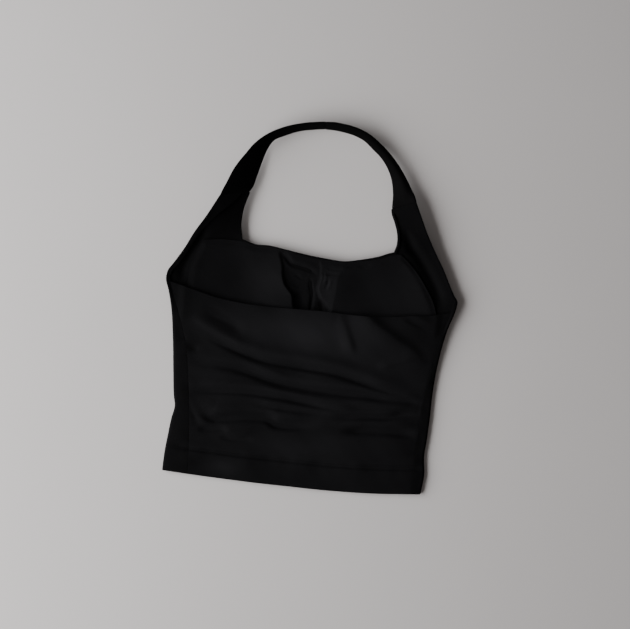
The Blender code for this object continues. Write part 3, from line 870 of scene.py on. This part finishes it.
# %% Relief of seams and hem
HEM_DEPTH, NEEDLES_APART = 33.0, 3.2
HEM_ROWS = (HEM_DEPTH, HEM_DEPTH - NEEDLES_APART)
HEM_DIP, HEM_LINE = 1.2, 1.9
HEM_PUFF, PUFF_START, PUFF_RUN, PUFF_END = 0.35, 2.0, 5.0, 8.0
HEM_PUCKER, HEM_PITCH, PUCKERS_UP, PUCKERS_DOWN = 0.38, 33.0, 5.0, 13.0
SEAM_DIP, SEAM_WIDTH = 0.12, 0.8
SEAM_PUCKER, SEAM_PITCH, SEAM_REACH = 0.36, 19.0, 8.0
SIDES_DIFFER = 40  # shifts the right seam's puckers against the left one's


def hem_relief(run, height):
    """Twin stitch lines, the slight puff of the doubled hem below them, and its puckers."""
    lines = sum(HEM_DIP * bump(height - row, HEM_LINE) for row in HEM_ROWS)
    puff = smoothstep((HEM_ROWS[1] + PUFF_START - height) / PUFF_RUN) * smoothstep(height / PUFF_END)
    reach = np.where(height > HEM_DEPTH, PUCKERS_UP, PUCKERS_DOWN)
    ripples = puckers(run, HEM_PITCH) * bump(height - HEM_DEPTH, reach)
    return HEM_PUFF * puff + HEM_PUCKER * ripples - lines


def seams_relief(flat, y):
    """What a panel's two side seams do to it."""
    relief = 0.0
    for edge in (0, -1):
        distance = np.abs(flat[..., 0] - flat[:, edge, :1])
        ripples = puckers(y + edge * SIDES_DIFFER, SEAM_PITCH) * np.exp(-distance / SEAM_REACH)
        relief = relief + SEAM_PUCKER * ripples - SEAM_DIP * np.exp(-distance / SEAM_WIDTH)
    return relief


print("stitch lines above the hem's edge, mm:", HEM_ROWS)

# %% [markdown]
# ### Creases of the front
#
# The underside has a few creases of its own. The table presses them flat, so they only go inwards.
# Inside, along both armholes, the cloth sinks into a valley between the turned strip and the lining. The
# underside gives way below it as far as the table lets it.

# %% Creases of the front panel
FRONT_FOLDS = table_of(
    Fold,
    (((-128, 166), (-60, 152), (20, 147), (96, 158), (140, 172)), 1.0, 3.5, 6.0),
    (((-136, 128), (-50, 120), (40, 124), (120, 116)), 1.1, 3.0, 6.0),
    (((-120, 98), (-30, 92), (30, 96)), 0.9, 3.0, 5.0),
    (((-40, 72), (40, 78), (132, 70)), 1.0, 3.0, 5.5),
    (((-10, 270), (-2, 244), (-5, 214)), 1.4, 2.6, 2.6),
    (((8, 272), (10, 248), (22, 226)), 1.0, 2.4, 2.4),
    (((-26, 270), (-14, 252), (-22, 230)), 0.9, 2.4, 2.4),
)
LEFT_VALLEY = ((-159, 229), (-157, 240), (-155, 256), (-147, 274), (-138, 289), (-129, 305))
RIGHT_VALLEY = ((157, 222), (151, 246), (139, 267), (125, 287), (112, 303), (103, 328))
VALLEYS = table_of(Fold, (LEFT_VALLEY, 3.6, 4.5, 4.5), (RIGHT_VALLEY, 4.2, 6.5, 5.5))
VALLEY_SHARE = 0.45  # what the turned strip has of a valley's depth
KEPT_FREE = 0.6  # what stays between the underside and the table there
PRESSED, LEAST_PRESSED = 0.25, 0.02  # how far the table presses the hem's relief inwards
UNDER_FADE = 4  # columns of the side fold over which the underside's relief ends
OVER_START = 0.7  # share of the side fold's columns after which the upper relief begins


def front_relief(face):
    x, y, flat = face[..., 0], face[..., 1], flat_cut(face) / MM
    column = np.arange(FRONT_COLUMNS + 1)[None, :] + np.zeros_like(x)
    beyond = np.abs(column - FRONT_COLUMNS / 2) - UNDER_COLUMNS / 2
    under = 1 - smoothstep(beyond / UNDER_FADE)
    over = smoothstep(beyond / ARC_COLUMNS - OVER_START)
    hem = hem_relief(x, flat[..., 1] + ROLL)
    creases = np.minimum(fold_relief(FRONT_FOLDS, x, y), 0)
    valleys = np.minimum(fold_relief(VALLEYS, x, y), 0)
    below = np.maximum(valleys, np.minimum(KEPT_FREE - front_lift(x, y), 0))
    underside = creases + np.minimum(hem - PRESSED, -LEAST_PRESSED) - below
    seam_rows = (np.arange(FRONT_ROWS + 1) <= BODY_ROWS)[:, None]
    upper = hem + VALLEY_SHARE * valleys + seams_relief(flat, y) * seam_rows + swells(x, y)
    return under * underside + over * upper


front_shift = front_relief(front_face)
front_face = front_face - normals_of(front_face) * front_shift[..., None]
print("relief of the front, mm:", np.round([front_shift.min(), front_shift.max()], 2))

# %% [markdown]
# The mesh is then cut open at the neck, and its hem and its neckline are turned in. The turn along the
# armholes is in the net already. The normals of the sums above point into the garment, so the faces are
# reversed before the edges turn.

# %% Front panel
HEM_TUCK = 3.0
NECK_ROLL, NECK_TUCK = 1.2, 2.0
# Painted light and shade on the front: spots that lighten or darken the jersey's colour.
FRONT_PAINTED_LIGHT = table_of(
    PaintedLight,
    (-108, 318, 34, 36, -0.16), (-173, 222, 14, 24, -0.12), (128, 280, 14, 40, -0.08),
    (-98, 350, 24, 20, -0.1), (-165, 90, 16, 110, 0.25),
)


def neck_hole(across, up):
    return NECK_START < across * FRONT_COLUMNS < NECK_END and up * FRONT_ROWS > NECK_ROW


def round_neck(row, column):
    return row >= NECK_ROW and NECK_START <= column <= NECK_END


front_shape = cloth_shape(front_face, hole=neck_hole)
bmesh.ops.reverse_faces(front_shape, faces=front_shape.faces)
front_shape.normal_update()
turned_edge(front_shape, border(front_shape, lambda row, column: row == 0), ROLL, HEM_TUCK)
turned_edge(front_shape, border(front_shape, round_neck), NECK_ROLL, NECK_TUCK)
front = finished("front_jersey", front_shape, outer_jersey, painted_light=FRONT_PAINTED_LIGHT)
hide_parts("front_panel")

# %% [markdown]
# ## The padded lining
#
# Above the back panel one looks into the bust. The lining holds two shallow padded cups, and between
# them it is gathered on a short vertical seam. The cups are hollow from this side: each falls from a rim
# near the middle to its deepest point and climbs again to the armhole. Beside the left rim the cloth
# drops into a pocket, and on the right a leaf shaped fold stands up. The pads could be pieces of their
# own. They are sewn in and never seen, so here they only make the lining thicker.

# %% Cups and gathers
Rim = namedtuple("Rim", "y left leaf right rise")
CUP_RIMS = table_of(
    Rim,
    (198, -17.0, 23.5, 25.0, 1.6), (210, -19.0, 23.5, 25.5, 2.6), (219, -22.0, 22.0, 26.5, 3.4),
    (231, -24.5, 12.0, 28.0, 4.2), (241, -33.0, 8.0, 29.0, 4.4), (253, -37.5, 10.5, 29.6, 4.0),
    (264, -39.0, 11.0, 33.0, 1.5), (276, -43.0, 8.0, 38.0, 0.2),
)
CUP_MIDDLES = {"left": -94.0, "right": 92.0}
LINING_SIDES = table_of(
    Side,
    (198, -146.0, 152.0), (226, -148.5, 150.6), (238, -149.4, 146.2), (254, -148.8, 136.3),
    (271, -143.0, 122.8), (292, -133.4, 98.0),
)
LINING_BOTTOM, LINING_TOP, LINING_CORNER = 198.0, 291.0, 3.0
LINING_INSET, MIDDLE_GATHER = 1.2, 0.1
GATHER_ROOM = 1.7  # a gather goes no deeper
GATHERS = table_of(
    Fold,
    (((-44, 282), (-35, 275), (-26, 267), (-14, 264), (0, 260), (6, 254)), 1.7, 2.4, 3.4, 0.6),
    (((-3, 256), (-2, 245), (1, 232), (0, 206)), 1.5, 2.2, 2.4, 0.3),
    (((-30, 244), (-20, 238), (-8, 238), (2, 242)), -0.7, 3.0, 4.0),
    (((-24, 232), (-14, 228), (-12, 214), (-12, 200)), 1.3, 6.0, 6.0),
    (((9, 228), (14, 220), (15, 204)), 1.3, 3.5, 3.5),
    (((12, 262), (13, 253), (10, 246)), 0.7, 1.3, 1.6, 0.5),
    (((19, 254), (18, 246), (15, 240)), 0.7, 1.3, 1.8, 0.5),
    (((-22, 256), (-14, 251), (-6, 252)), 0.5, 1.6, 2.4, 0.3),
    (((14, 266), (26, 265), (38, 266)), 0.6, 1.4, 2.4),
    (((52, 271), (62, 272), (70, 276)), 0.4, 2.0, 3.0),
)
print("gathers and small creases:", len(GATHERS))

# %% [markdown]
# From the deepest point of a cup the lining rises to the rim as the side of a bowl does. Between the two
# rims it drops into the pocket. The leaf stands on the right of it, and lies down at its upper end.

# %% Upper face of the lining
POCKET_WALL = 6  # the higher, the steeper it falls from the left rim
LEAF_EDGE = 1.2
LEAF_TOP, LEAF_END, LEAF_FOOT = 260.0, 4.0, 0.45


def rims_at(y):
    return (curve(CUP_RIMS, column, y) for column in ("left", "leaf", "right", "rise"))


def between_rims(x, y, left, leaf, right):
    """Share of the rims' height between them, with the pocket and the leaf."""
    wall = np.clip((leaf - x) / (leaf - left), 0, 1) ** POCKET_WALL
    slope = np.clip((x - leaf) / (right - leaf), 0, 1)
    edge = smoothstep((x - leaf + LEAF_EDGE) / (2 * LEAF_EDGE))
    standing = (LEAF_FOOT + (1 - LEAF_FOOT) * slope) * edge
    standing = mix(standing, slope**2, smoothstep((y - LEAF_TOP + LEAF_END) / LEAF_END))
    return np.maximum(wall, standing)


def cup_rise(x, y, pocket):
    """How far the lining stands over the cups' deepest points, with the pocket open or filled."""
    left, leaf, right, height = rims_at(y)
    rising = bowl((x - CUP_MIDDLES["left"]) / (left - CUP_MIDDLES["left"]))
    falling = bowl((x - CUP_MIDDLES["right"]) / (right - CUP_MIDDLES["right"]))
    rise = np.where(x < CUP_MIDDLES["left"], 0, np.where(x > left, 1.0, rising))
    rise = np.where(x > right, np.where(x > CUP_MIDDLES["right"], 0, falling), rise)
    if pocket:
        rise = np.where((x > left) & (x < right), between_rims(x, y, left, leaf, right), rise)
    return rise * height


def lining_base(x, y):
    return front_lift(x, y) + LAYER + LAID_GAP + ROOM + CUP_WALL


def lining_level(x, y):
    """Upper face of the bust lining."""
    gathers = np.maximum(fold_relief(GATHERS, x, y), -GATHER_ROOM)
    return lining_base(x, y) + cup_rise(x, y, True) + gathers


at_rim = cup_rise(np.array([-34.0]), np.array([240.0]), True)
print("the left cup's rim, mm high:", np.round(at_rim, 1))

# %% [markdown]
# The padding is thick in the cups and runs out to plain cloth at the edges and in the middle, so the
# lining's upper face falls there. The same shares thin the wall, which keeps its lower face where it was.

# %% Lining
LINING_COLUMNS, LINING_ROWS = 210, 84
PAD_RUN, MIDDLE_RUN = 9.0, 4.0
PAD_SWELL, PAD_SWELL_RATE = 0.5, 1.3
THIN_LINING = 0.9
# Painted light on the lining: spots where the cups' slopes facing the light are painted lighter.
LINING_PAINTED_LIGHT = table_of(
    PaintedLight,
    (-50, 244, 26, 40, 0.38), (112, 240, 90, 60, 0.3), (22, 240, 12, 22, 0.24),
)


def lining_place(column, row):
    across = column / LINING_COLUMNS
    across = across + MIDDLE_GATHER * np.sin(2 * np.pi * across)
    share = row / LINING_ROWS
    side_y = mix(LINING_BOTTOM, LINING_TOP - LINING_CORNER, share)
    x = mix(curve(LINING_SIDES, "left", side_y), curve(LINING_SIDES, "right", side_y), across)
    high = np.minimum(curve(NECKLINE, "y", x), LINING_TOP) - LINING_INSET
    y = mix(LINING_BOTTOM, high, share)
    return np.stack([x, y, lining_level(x, y)], axis=1)


lining_face = net(lining_place, LINING_COLUMNS, LINING_ROWS)
lining_x, lining_y = lining_face[..., 0], lining_face[..., 1]
lining_run = flat_cut(lining_face)[..., 0] / MM
from_sides = np.minimum(lining_run - lining_run[:, :1], lining_run[:, -1:] - lining_run)
to_edge = np.minimum(from_sides, lining_y[-1:] - lining_y)
left_rim, leaf_foot, _, _ = rims_at(lining_y)
in_middle = np.minimum(lining_x - left_rim, leaf_foot - lining_x)
pad = smoothstep(to_edge / PAD_RUN) * (1 - smoothstep(in_middle / MIDDLE_RUN))
thin = mix(CUP_WALL, THIN_LINING, 1 - pad)
lining_face[..., 2] += thin - CUP_WALL + PAD_SWELL * swells(lining_x * PAD_SWELL_RATE, lining_y) * pad
lining_shape = cloth_shape(lining_face)
pad_shares = (thin / CUP_WALL).ravel()
lining = finished("cup_lining", lining_shape, lining_jersey, CUP_WALL, pad_shares, LINING_PAINTED_LIGHT)
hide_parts("bust_lining")
print("lining, mm thick in the cups:", CUP_WALL, "and at its edges", round(float(thin.min()), 2))

# %% [markdown]
# ## The back panel
#
# The back is what catches the light. It is drawn tight from side to side over the lining at the top and
# hangs loose below, so long creases run across it. Each row below is one crease, with the depth and the
# softness that it shows. Three ridges come down from its upper corners and its top edge, where the
# armholes and the lining's rims pull at it. A simulation lays creases where it likes, so here each one is
# placed.

# %% Creases of the back panel
UPPER_CREASE = (
    *((-132, 175), (-98, 162), (-67, 152), (-42, 147), (6, 143)),
    *((36, 140), (62, 134), (84, 128), (110, 123), (140, 121)),
)
MIDDLE_CREASE = (
    *((-152, 140), (-93, 137), (-66, 133), (-46, 127), (-18, 121)),
    *((20, 118), (60, 117), (110, 116), (150, 114)),
)
LOWER_CREASE = ((-134, 82), (-115, 77), (-102, 73), (-72, 77), (-42, 79), (-27, 73), (0, 73), (30, 76))
LEFT_RIDGE = ((-146, 196), (-128, 189), (-109, 180), (-88, 170), (-66, 161))
RIGHT_RIDGE = ((48, 226), (69, 211), (89, 197), (108, 185), (128, 174), (146, 153))
WAIST_CREASE = ((-146, 101), (-121, 105), (-73, 108), (-21, 105), (10, 101), (40, 98), (66, 99))
BACK_FOLDS = table_of(
    Fold,
    (((-130, 206), (-110, 198), (-88, 187), (-74, 177)), 1.3, 6.0, 7.0, 0.3),
    (LEFT_RIDGE, -2.5, 5.0, 8.0),
    (UPPER_CREASE, 3.4, 3.2, 6.9, 2.4),
    (MIDDLE_CREASE, 4.2, 4.6, 6.0, 2.0),
    (WAIST_CREASE, 2.9, 3.0, 5.5, 2.2),
    (((44, 101), (88, 103), (120, 106), (148, 108)), 1.1, 3.0, 5.0, 0.8),
    (((72, 116), (98, 114), (126, 115), (150, 114)), 2.6, 4.2, 4.0, 0.6),
    (((-62, 95), (-30, 93), (10, 91), (40, 94)), 1.5, 2.8, 4.2, 0.9),
    (LOWER_CREASE, 4.4, 4.4, 7.5, 2.3),
    (((26, 85), (76, 91), (104, 93), (124, 98), (150, 99)), 2.6, 3.2, 5.2, 1.2),
    (((46, 71), (81, 75), (124, 76), (150, 73)), 4.2, 4.4, 6.4, 1.8),
    (((-124, 59), (-98, 62), (-83, 62)), 1.8, 3.1, 5.0, 0.9),
    (((-97, 53), (-75, 51), (-52, 53)), 1.4, 2.8, 5.0, 0.8),
    (RIGHT_RIDGE, -3.5, 15.0, 7.0),
    (((32, 224), (40, 204), (49, 184), (58, 160)), -1.7, 9.0, 4.5),
    (((85, 152), (108, 160), (134, 168)), -1.0, 4.0, 6.0),
    (((112, 214), (134, 207), (154, 197)), 1.3, 3.0, 5.0, 0.8),
    (((-156, 166), (-142, 158), (-126, 156)), 1.7, 3.6, 5.0, 0.6),
    (((-147, 124), (-141, 111), (-139, 97)), 0.9, 3.0, 4.0, 0.4),
    (((-152, 106), (-143, 94), (-132, 80), (-120, 64)), 1.7, 5.0, 4.0, 0.3),
    (((149, 123), (142, 113), (140, 96)), 0.9, 2.8, 3.8, 0.4),
)
BACK_LEVEL = table_of(
    Level,
    (0, 4.6), (100, 6.1), (150, 6.7), (185, 7.7), (215, 8.4), (240, 8.8),
)
# Painted light and shade on the back: spots that lighten the jersey where light catches it and darken it in
# shade.
BACK_PAINTED_LIGHT = table_of(
    PaintedLight,
    (45, 110, 120, 150, 0.36), (10, 186, 92, 30, 0.44), (118, 190, 26, 14, -0.18),
    (-112, 110, 50, 110, 0.2), (-140, 160, 9, 15, -0.18), (-128, 20, 16, 10, -0.16),
    (-20, 116, 60, 32, 0.12), (40, 73, 34, 7, -0.14), (120, 145, 40, 40, 0.12),
    (-24, 188, 60, 22, 0.16), (2, 48, 50, 13, 0.22), (-86, 17, 20, 10, 0.3),
)
print("creases of the back:", len(BACK_FOLDS))

# %% [markdown]
# The back's own level is the one above, and at the side seams that of the front. It never sinks into what
# lies under it: it comes to rest on the front and on the lining softly, as cloth does.

# %% Level of the back panel
SEAM_SAG, FOLD_END = 3, 14  # powers: the higher, the nearer to the seams the back sinks and its creases end
SOFT_REST = 3.0  # the higher, the closer the back lies on what is under it
COVER_RUN, COVER_WIDTH, COVER_FADE = 24.0, 150.0, 16.0


def back_level(x, y):
    """Upper face of the back panel, with its creases, never lower than what lies under it."""
    left, right = curve(SIDE_SEAMS, "left", y), curve(SIDE_SEAMS, "right", y)
    place = np.clip(2 * (x - left) / (right - left) - 1, -1, 1)
    at_seam = front_lift(np.where(place < 0, left, right), y) + curve(FOLD_DEPTH, "height", y)
    level = mix(curve(BACK_LEVEL, "height", y), at_seam, np.abs(place) ** SEAM_SAG)
    level += fold_relief(BACK_FOLDS, x, y) * (1 - np.abs(place) ** FOLD_END) + swells(x, y)
    over_front = front_lift(x, y) + LAYER + LAID_GAP + ROOM + JERSEY
    over_lining = lining_base(x, y) + cup_rise(x, y, False) + LAID_GAP + JERSEY + ROOM + ROLL
    covers = smoothstep((y - LINING_BOTTOM) / COVER_RUN + 1)
    covers = covers * smoothstep((COVER_WIDTH - np.abs(x)) / COVER_FADE + 1)
    rest = np.maximum(over_front, mix(over_front, over_lining, covers))
    return rest + np.logaddexp(0, (level - rest) * SOFT_REST) / SOFT_REST


print("the back in its middle, mm high:", np.round(back_level(np.zeros(1), np.array([100.0])), 1))

# %% [markdown]
# The back's columns crowd towards the side seams, where the puckers are short. Its hem and its top edge
# are turned in.

# %% Back panel
BACK_COLUMNS, BACK_ROWS = 150, 262
CROWDING = 0.4


def back_place(column, row):
    share = row / BACK_ROWS
    ends = []
    for side, inward in INWARD.items():
        x = np.full(len(row), -inward * SHOULDER_FOOT)
        for _ in range(SETTLE):
            x = seam_line(side, up_from_hem(x, BACK_TOP, share)) + inward * CLOSED
        ends.append(x)
    even = column / BACK_COLUMNS
    across = mix(even, 0.5 - 0.5 * np.cos(np.pi * even), CROWDING)
    x = mix(*ends, across)
    y = up_from_hem(x, BACK_TOP, share)
    return np.stack([x, y, back_level(x, y)], axis=1)


back_face = net(back_place, BACK_COLUMNS, BACK_ROWS)
back_flat = flat_cut(back_face) / MM
back_shift = hem_relief(back_face[..., 0], back_flat[..., 1] + ROLL)
back_shift = back_shift + seams_relief(back_flat, back_face[..., 1])
back_face = back_face + normals_of(back_face) * back_shift[..., None]
back_shape = cloth_shape(back_face)
for end_row in (0, BACK_ROWS):
    turned_edge(back_shape, border(back_shape, lambda row, column: row == end_row), ROLL, HEM_TUCK)
back = finished("back_jersey", back_shape, outer_jersey, painted_light=BACK_PAINTED_LIGHT)
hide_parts("back_panel")
print("back, mm over the table:", np.round([back_face[..., 2].min(), back_face[..., 2].max()], 1))

# %% [markdown]
# ## The neck loop
#
# A strap is a tube pressed flat. Its ring runs over the upper face to the inner edge and back below, with
# the points close together at both edges, where they are round. Between the edges the faces are a little
# hollow, because the seam allowance lies inside the edges only.

# %% Straps
STATIONS, STEPS = 132, 22
EDGE_ROUND = 8
SLOPE_STEP = 0.01
HOLLOW = 0.16
Profile = namedtuple("Profile", "share across height")


def strap_profile(row, shares):
    """Across and height of a section's middle line."""
    width = np.hypot(row.inner_x - row.outer_x, row.inner_y - row.outer_y)
    flank = np.array((row.crest * width, row.crest_z - row.outer_z))
    foot = STRAP_WALL / 2 * max(flank[1], 0.0) / np.linalg.norm(flank)
    knots = np.array(((foot, row.outer_z), (max(foot, flank[0]), row.crest_z), (width, row.inner_z)))
    chords = np.linalg.norm(np.diff(knots, axis=0), axis=1)
    places = (0.0, chords[0] / chords.sum(), 1.0)
    profile = [Profile(place, *knot) for place, knot in zip(places, knots)]
    return np.stack([curve(profile, "across", shares), curve(profile, "height", shares)], axis=1)


def strap_ring(row):
    turn = np.pi * np.arange(2 * STEPS + 1) / STEPS
    shares = (1 - np.cos(turn)) / 2
    slope = strap_profile(row, shares + SLOPE_STEP) - strap_profile(row, shares - SLOPE_STEP)
    slope /= np.linalg.norm(slope, axis=1)[:, None]
    middle = np.abs(2 * shares - 1)
    up = np.sign(np.sin(turn)) * np.sqrt(1 - middle**EDGE_ROUND) * (1 - HOLLOW * (1 - middle**2))
    line = strap_profile(row, shares)
    line += up[:, None] * STRAP_WALL / 2 * np.stack([-slope[:, 1], slope[:, 0]], axis=1)
    outer, inner = np.array((row.outer_x, row.outer_y)), np.array((row.inner_x, row.inner_y))
    inward = (inner - outer) / np.linalg.norm(inner - outer)
    return np.column_stack([outer + line[:, :1] * inward, line[:, 1]])


def strap_net(table):
    """Rings from the strap seam to the nape."""
    rings = []
    for station in np.linspace(0, table[-1].station, STATIONS + 1):
        fields = (float(curve(table, field, station)) for field in Section._fields[1:])
        rings.append(strap_ring(Section(station, *fields)))
    rings[-1][:, 0] += np.sign(table[0].outer_x) * CLOSED / 2
    return np.array(rings)


print("points round a strap:", len(strap_ring(LEFT_STRAP[0])))

# %% [markdown]
# Both ends are drawn in by their seam, with short ripples that run out along the strap. The lower end is
# tucked a little way into the shoulder part, as a seam allowance is. The two long edges of the grid are
# welded to close the tube before its wall is grown inwards.

# %% Strap pieces
TUCK, TUCK_DEPTH, TUCK_SLIM = 2.0, 0.9, 0.03
STRAP_RIPPLE, RIPPLE_PITCH, RIPPLE_REACH = 0.28, 23.0, 26.0
END_DIP, END_REACH = 0.45, 1.1
STRAP_FLATS = {}
# Painted light and shade on the straps: the left strap and the nape are painted darker and the right strap
# lighter.
STRAP_PAINTED_LIGHT = table_of(
    PaintedLight,
    (-96, 380, 50, 50, -0.25), (50, 424, 40, 24, -0.1), (108, 362, 30, 30, 0.3),
)
for side, sections in STRAPS.items():
    face = strap_net(sections)
    flat = flat_cut(face) / MM
    length = flat[-1].mean(axis=0)[1]
    ends = np.minimum(flat[..., 1], flat[-1:, :, 1] - flat[..., 1])
    relief = STRAP_RIPPLE * puckers(flat[..., 1], RIPPLE_PITCH) * np.exp(-ends / RIPPLE_REACH)
    relief -= END_DIP * np.exp(-ends / END_REACH)
    outward = normals_of(face)
    if (outward * (face - face.mean(axis=1, keepdims=True))).sum() < 0:
        outward = -outward
    tucked = face[0] - outward[0] * TUCK_DEPTH
    run = face[0].mean(axis=0) - face[2].mean(axis=0)
    tucked += (tucked.mean(axis=0) - tucked) * TUCK_SLIM + run / np.linalg.norm(run) * TUCK
    face = np.concatenate([tucked[None], face + outward * relief[..., None]])
    shape = cloth_shape(face, tube=True)
    bmesh.ops.recalc_face_normals(shape, faces=shape.faces)
    strap = finished(f"{side}_strap_tube", shape, strap_jersey_shaded, painted_light=STRAP_PAINTED_LIGHT)
    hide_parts(f"strap_{side}")
    STRAP_FLATS[strap] = (np.ptp(flat[..., 0]), length, area_of(face[1:]))
    print(strap.name, "cut, mm:", np.round(STRAP_FLATS[strap][:2], 1))


# %% [markdown]
# ## Hem stitches
#
# The hem is sewn with a twin needle, which leaves two even rows of stitches. Each stitch shows only where
# the thread lies on the cloth, between the two holes it goes down through. Its middle stands a little
# proud of the groove that it pulls. A panel's stitches are one piece of thread. A curve could draw each
# one, but a panel has about two hundred, so a stretched sphere with few faces is enough.

# %% Stitches
STITCH, PITCH, THREAD, STITCH_INSET = 2.5, 3.2, 0.46, 3.0
THREAD_LOOK = {"Base Color": (0.0035, 0.0035, 0.004, 1), "Metallic": 0.0, "Roughness": 0.6, "IOR": 1.2}
thread = Graph("black thread", THREAD_LOOK).material


def point_at(line, run, at):
    return Vector([np.interp(at, run, line[:, axis]) for axis in range(3)])


def row_of_stitches(shape, face, height):
    """Adds one row of stitches at a height above the hem, from one side to the other."""
    up = flat_cut(face)[..., 1] / MM + ROLL
    columns = range(face.shape[1])
    line = [[np.interp(height, up[:, c], face[:, c, axis]) for axis in range(3)] for c in columns]
    line = np.array(line)
    run = run_along(line)
    size = Matrix.Diagonal((THREAD / 2, THREAD / 2, STITCH / 2, 1 / MM)) * MM
    for start in np.arange(STITCH_INSET, run[-1] - STITCH_INSET, PITCH):
        first, last = point_at(line, run, start), point_at(line, run, start + STITCH)
        turn = (last - first).to_track_quat("Z", "Y").to_matrix().to_4x4()
        place = Matrix.Translation(Vector(to_world((first + last) / 2))) @ turn @ size
        bmesh.ops.create_uvsphere(shape, u_segments=6, v_segments=6, radius=1.0, matrix=place)


STITCHES = {}
for cloth, face in ((front, front_face), (back, back_face)):
    shape = bmesh.new()
    for height in HEM_ROWS:
        row_of_stitches(shape, face, height)
    name = cloth.name.replace("jersey", "hem_stitches")
    STITCHES[cloth] = finished(name, shape, thread, wall=0)


# %% [markdown]
# ## Cloth laid flat
#
# Each panel's size and area are those of its net laid flat, so they are what shows, without the allowances
# turned inside. They are printed here. A strap's width goes all round its tube.

# %% Sizes laid flat
def cut_size(face):
    """Width and length of a net laid flat, in metres."""
    flat = flat_cut(face)
    return float(np.ptp(flat[..., 0])), float(flat[..., 1].max())


def declare_laid(cloth, face, **more):
    cut_size(face)
    area_of(face)
    size = np.round(np.array(cut_size(face)) / MM, 1)
    print(cloth.name, "cut, mm:", size, "area, m²:", round(area_of(face), 4))


declare_laid(front, front_face, with_pieces=[STITCHES[front]])
declare_laid(lining, lining_face, rests_on=[front])
declare_laid(back, back_face, rests_on=[front, lining], with_pieces=[STITCHES[back]])
for strap, (width, length, area) in STRAP_FLATS.items():
    width * MM
    length * MM


# %% [markdown]
# ## Floor
#
# The floor is plain, pale and matt, with the faint unevenness of a painted board. It belongs to the
# stage and not to the garment.

# %% Floor
FLOOR_REACH = 3.0  # metres from its middle to each side
CLOUD_SCALE, GRAIN_SCALE = 3.0, 900.0
floor_graph = Graph("pale floor", {"Metallic": 0.0, "Specular IOR Level": 0.2})
place = floor_graph.place()
cloudy = floor_graph.noise(place, CLOUD_SCALE, 3.0)
grain = floor_graph.noise(place, GRAIN_SCALE, 2.0)
floor_graph.shade((0.66, 0.645, 0.645), (0.72, 0.705, 0.705), cloudy * 0.8 + grain * 0.2)
floor_graph.fill(floor_graph.shader, {"Roughness": 0.8 + grain * 0.1})
floor_graph.relief(grain, 0.0002, 0.3)
floor_shape = bmesh.new()
bmesh.ops.create_grid(floor_shape, x_segments=1, y_segments=1, size=FLOOR_REACH)
floor = placed("floor", mesh_of("floor", floor_shape, floor_graph.material))
print("floor:", floor.dimensions.x, "m wide")

# %% [markdown]
# ## Light
#
# One large soft light stands low at the left of the picture, as a window would, so shadows fall to the
# right and fade quickly. A weak even light fills the rest.

# %% Light
TURN = np.radians(5.0)  # of the camera, so of the picture
LIGHT_AZIMUTH = np.radians(187.0) + TURN
LIGHT_HEIGHT = np.radians(27.0)
LIGHT_DISTANCE = 1.75
panel = bpy.data.lights.new("window", "AREA")
panel.shape = "RECTANGLE"
panel.size, panel.size_y = 2.7, 1.3
panel.energy = 80.0
panel.color = (1.0, 0.985, 0.975)
towards = (
    np.cos(LIGHT_AZIMUTH) * np.cos(LIGHT_HEIGHT),
    np.sin(LIGHT_AZIMUTH) * np.cos(LIGHT_HEIGHT),
    np.sin(LIGHT_HEIGHT),
)
window = placed("window", panel)
window.location = LIGHT_DISTANCE * Vector(towards)
window.rotation_euler = (-window.location).to_track_quat("-Z", "Y").to_euler()
sky = bpy.data.worlds.new("room")
sky.use_nodes = True
sky.node_tree.nodes["Background"].inputs["Color"].default_value = (1.0, 0.91, 0.87, 1)
sky.node_tree.nodes["Background"].inputs["Strength"].default_value = 0.115
bpy.context.scene.world = sky
print("window, m:", [round(part, 2) for part in window.location])

# %% [markdown]
# ## Camera
#
# The camera looks straight down, turned five degrees as in the photo, and from far enough away to keep
# the outline true. Its focal length follows from the width that it has to show at the cloth's level.

# %% Camera
FRAME_WIDTH = 0.756
CAMERA_HEIGHT = 2.4
MEAN_LEVEL = 0.006
lens = bpy.data.cameras.new("overhead")
lens.sensor_width = 36.0
lens.lens = lens.sensor_width * (CAMERA_HEIGHT - MEAN_LEVEL) / FRAME_WIDTH
camera = placed("overhead", lens)
camera.location = (0.0065, -0.0109, CAMERA_HEIGHT)
camera.rotation_euler = (0.0, 0.0, TURN)
bpy.context.scene.camera = camera
print("focal length:", round(lens.lens, 1), "mm")
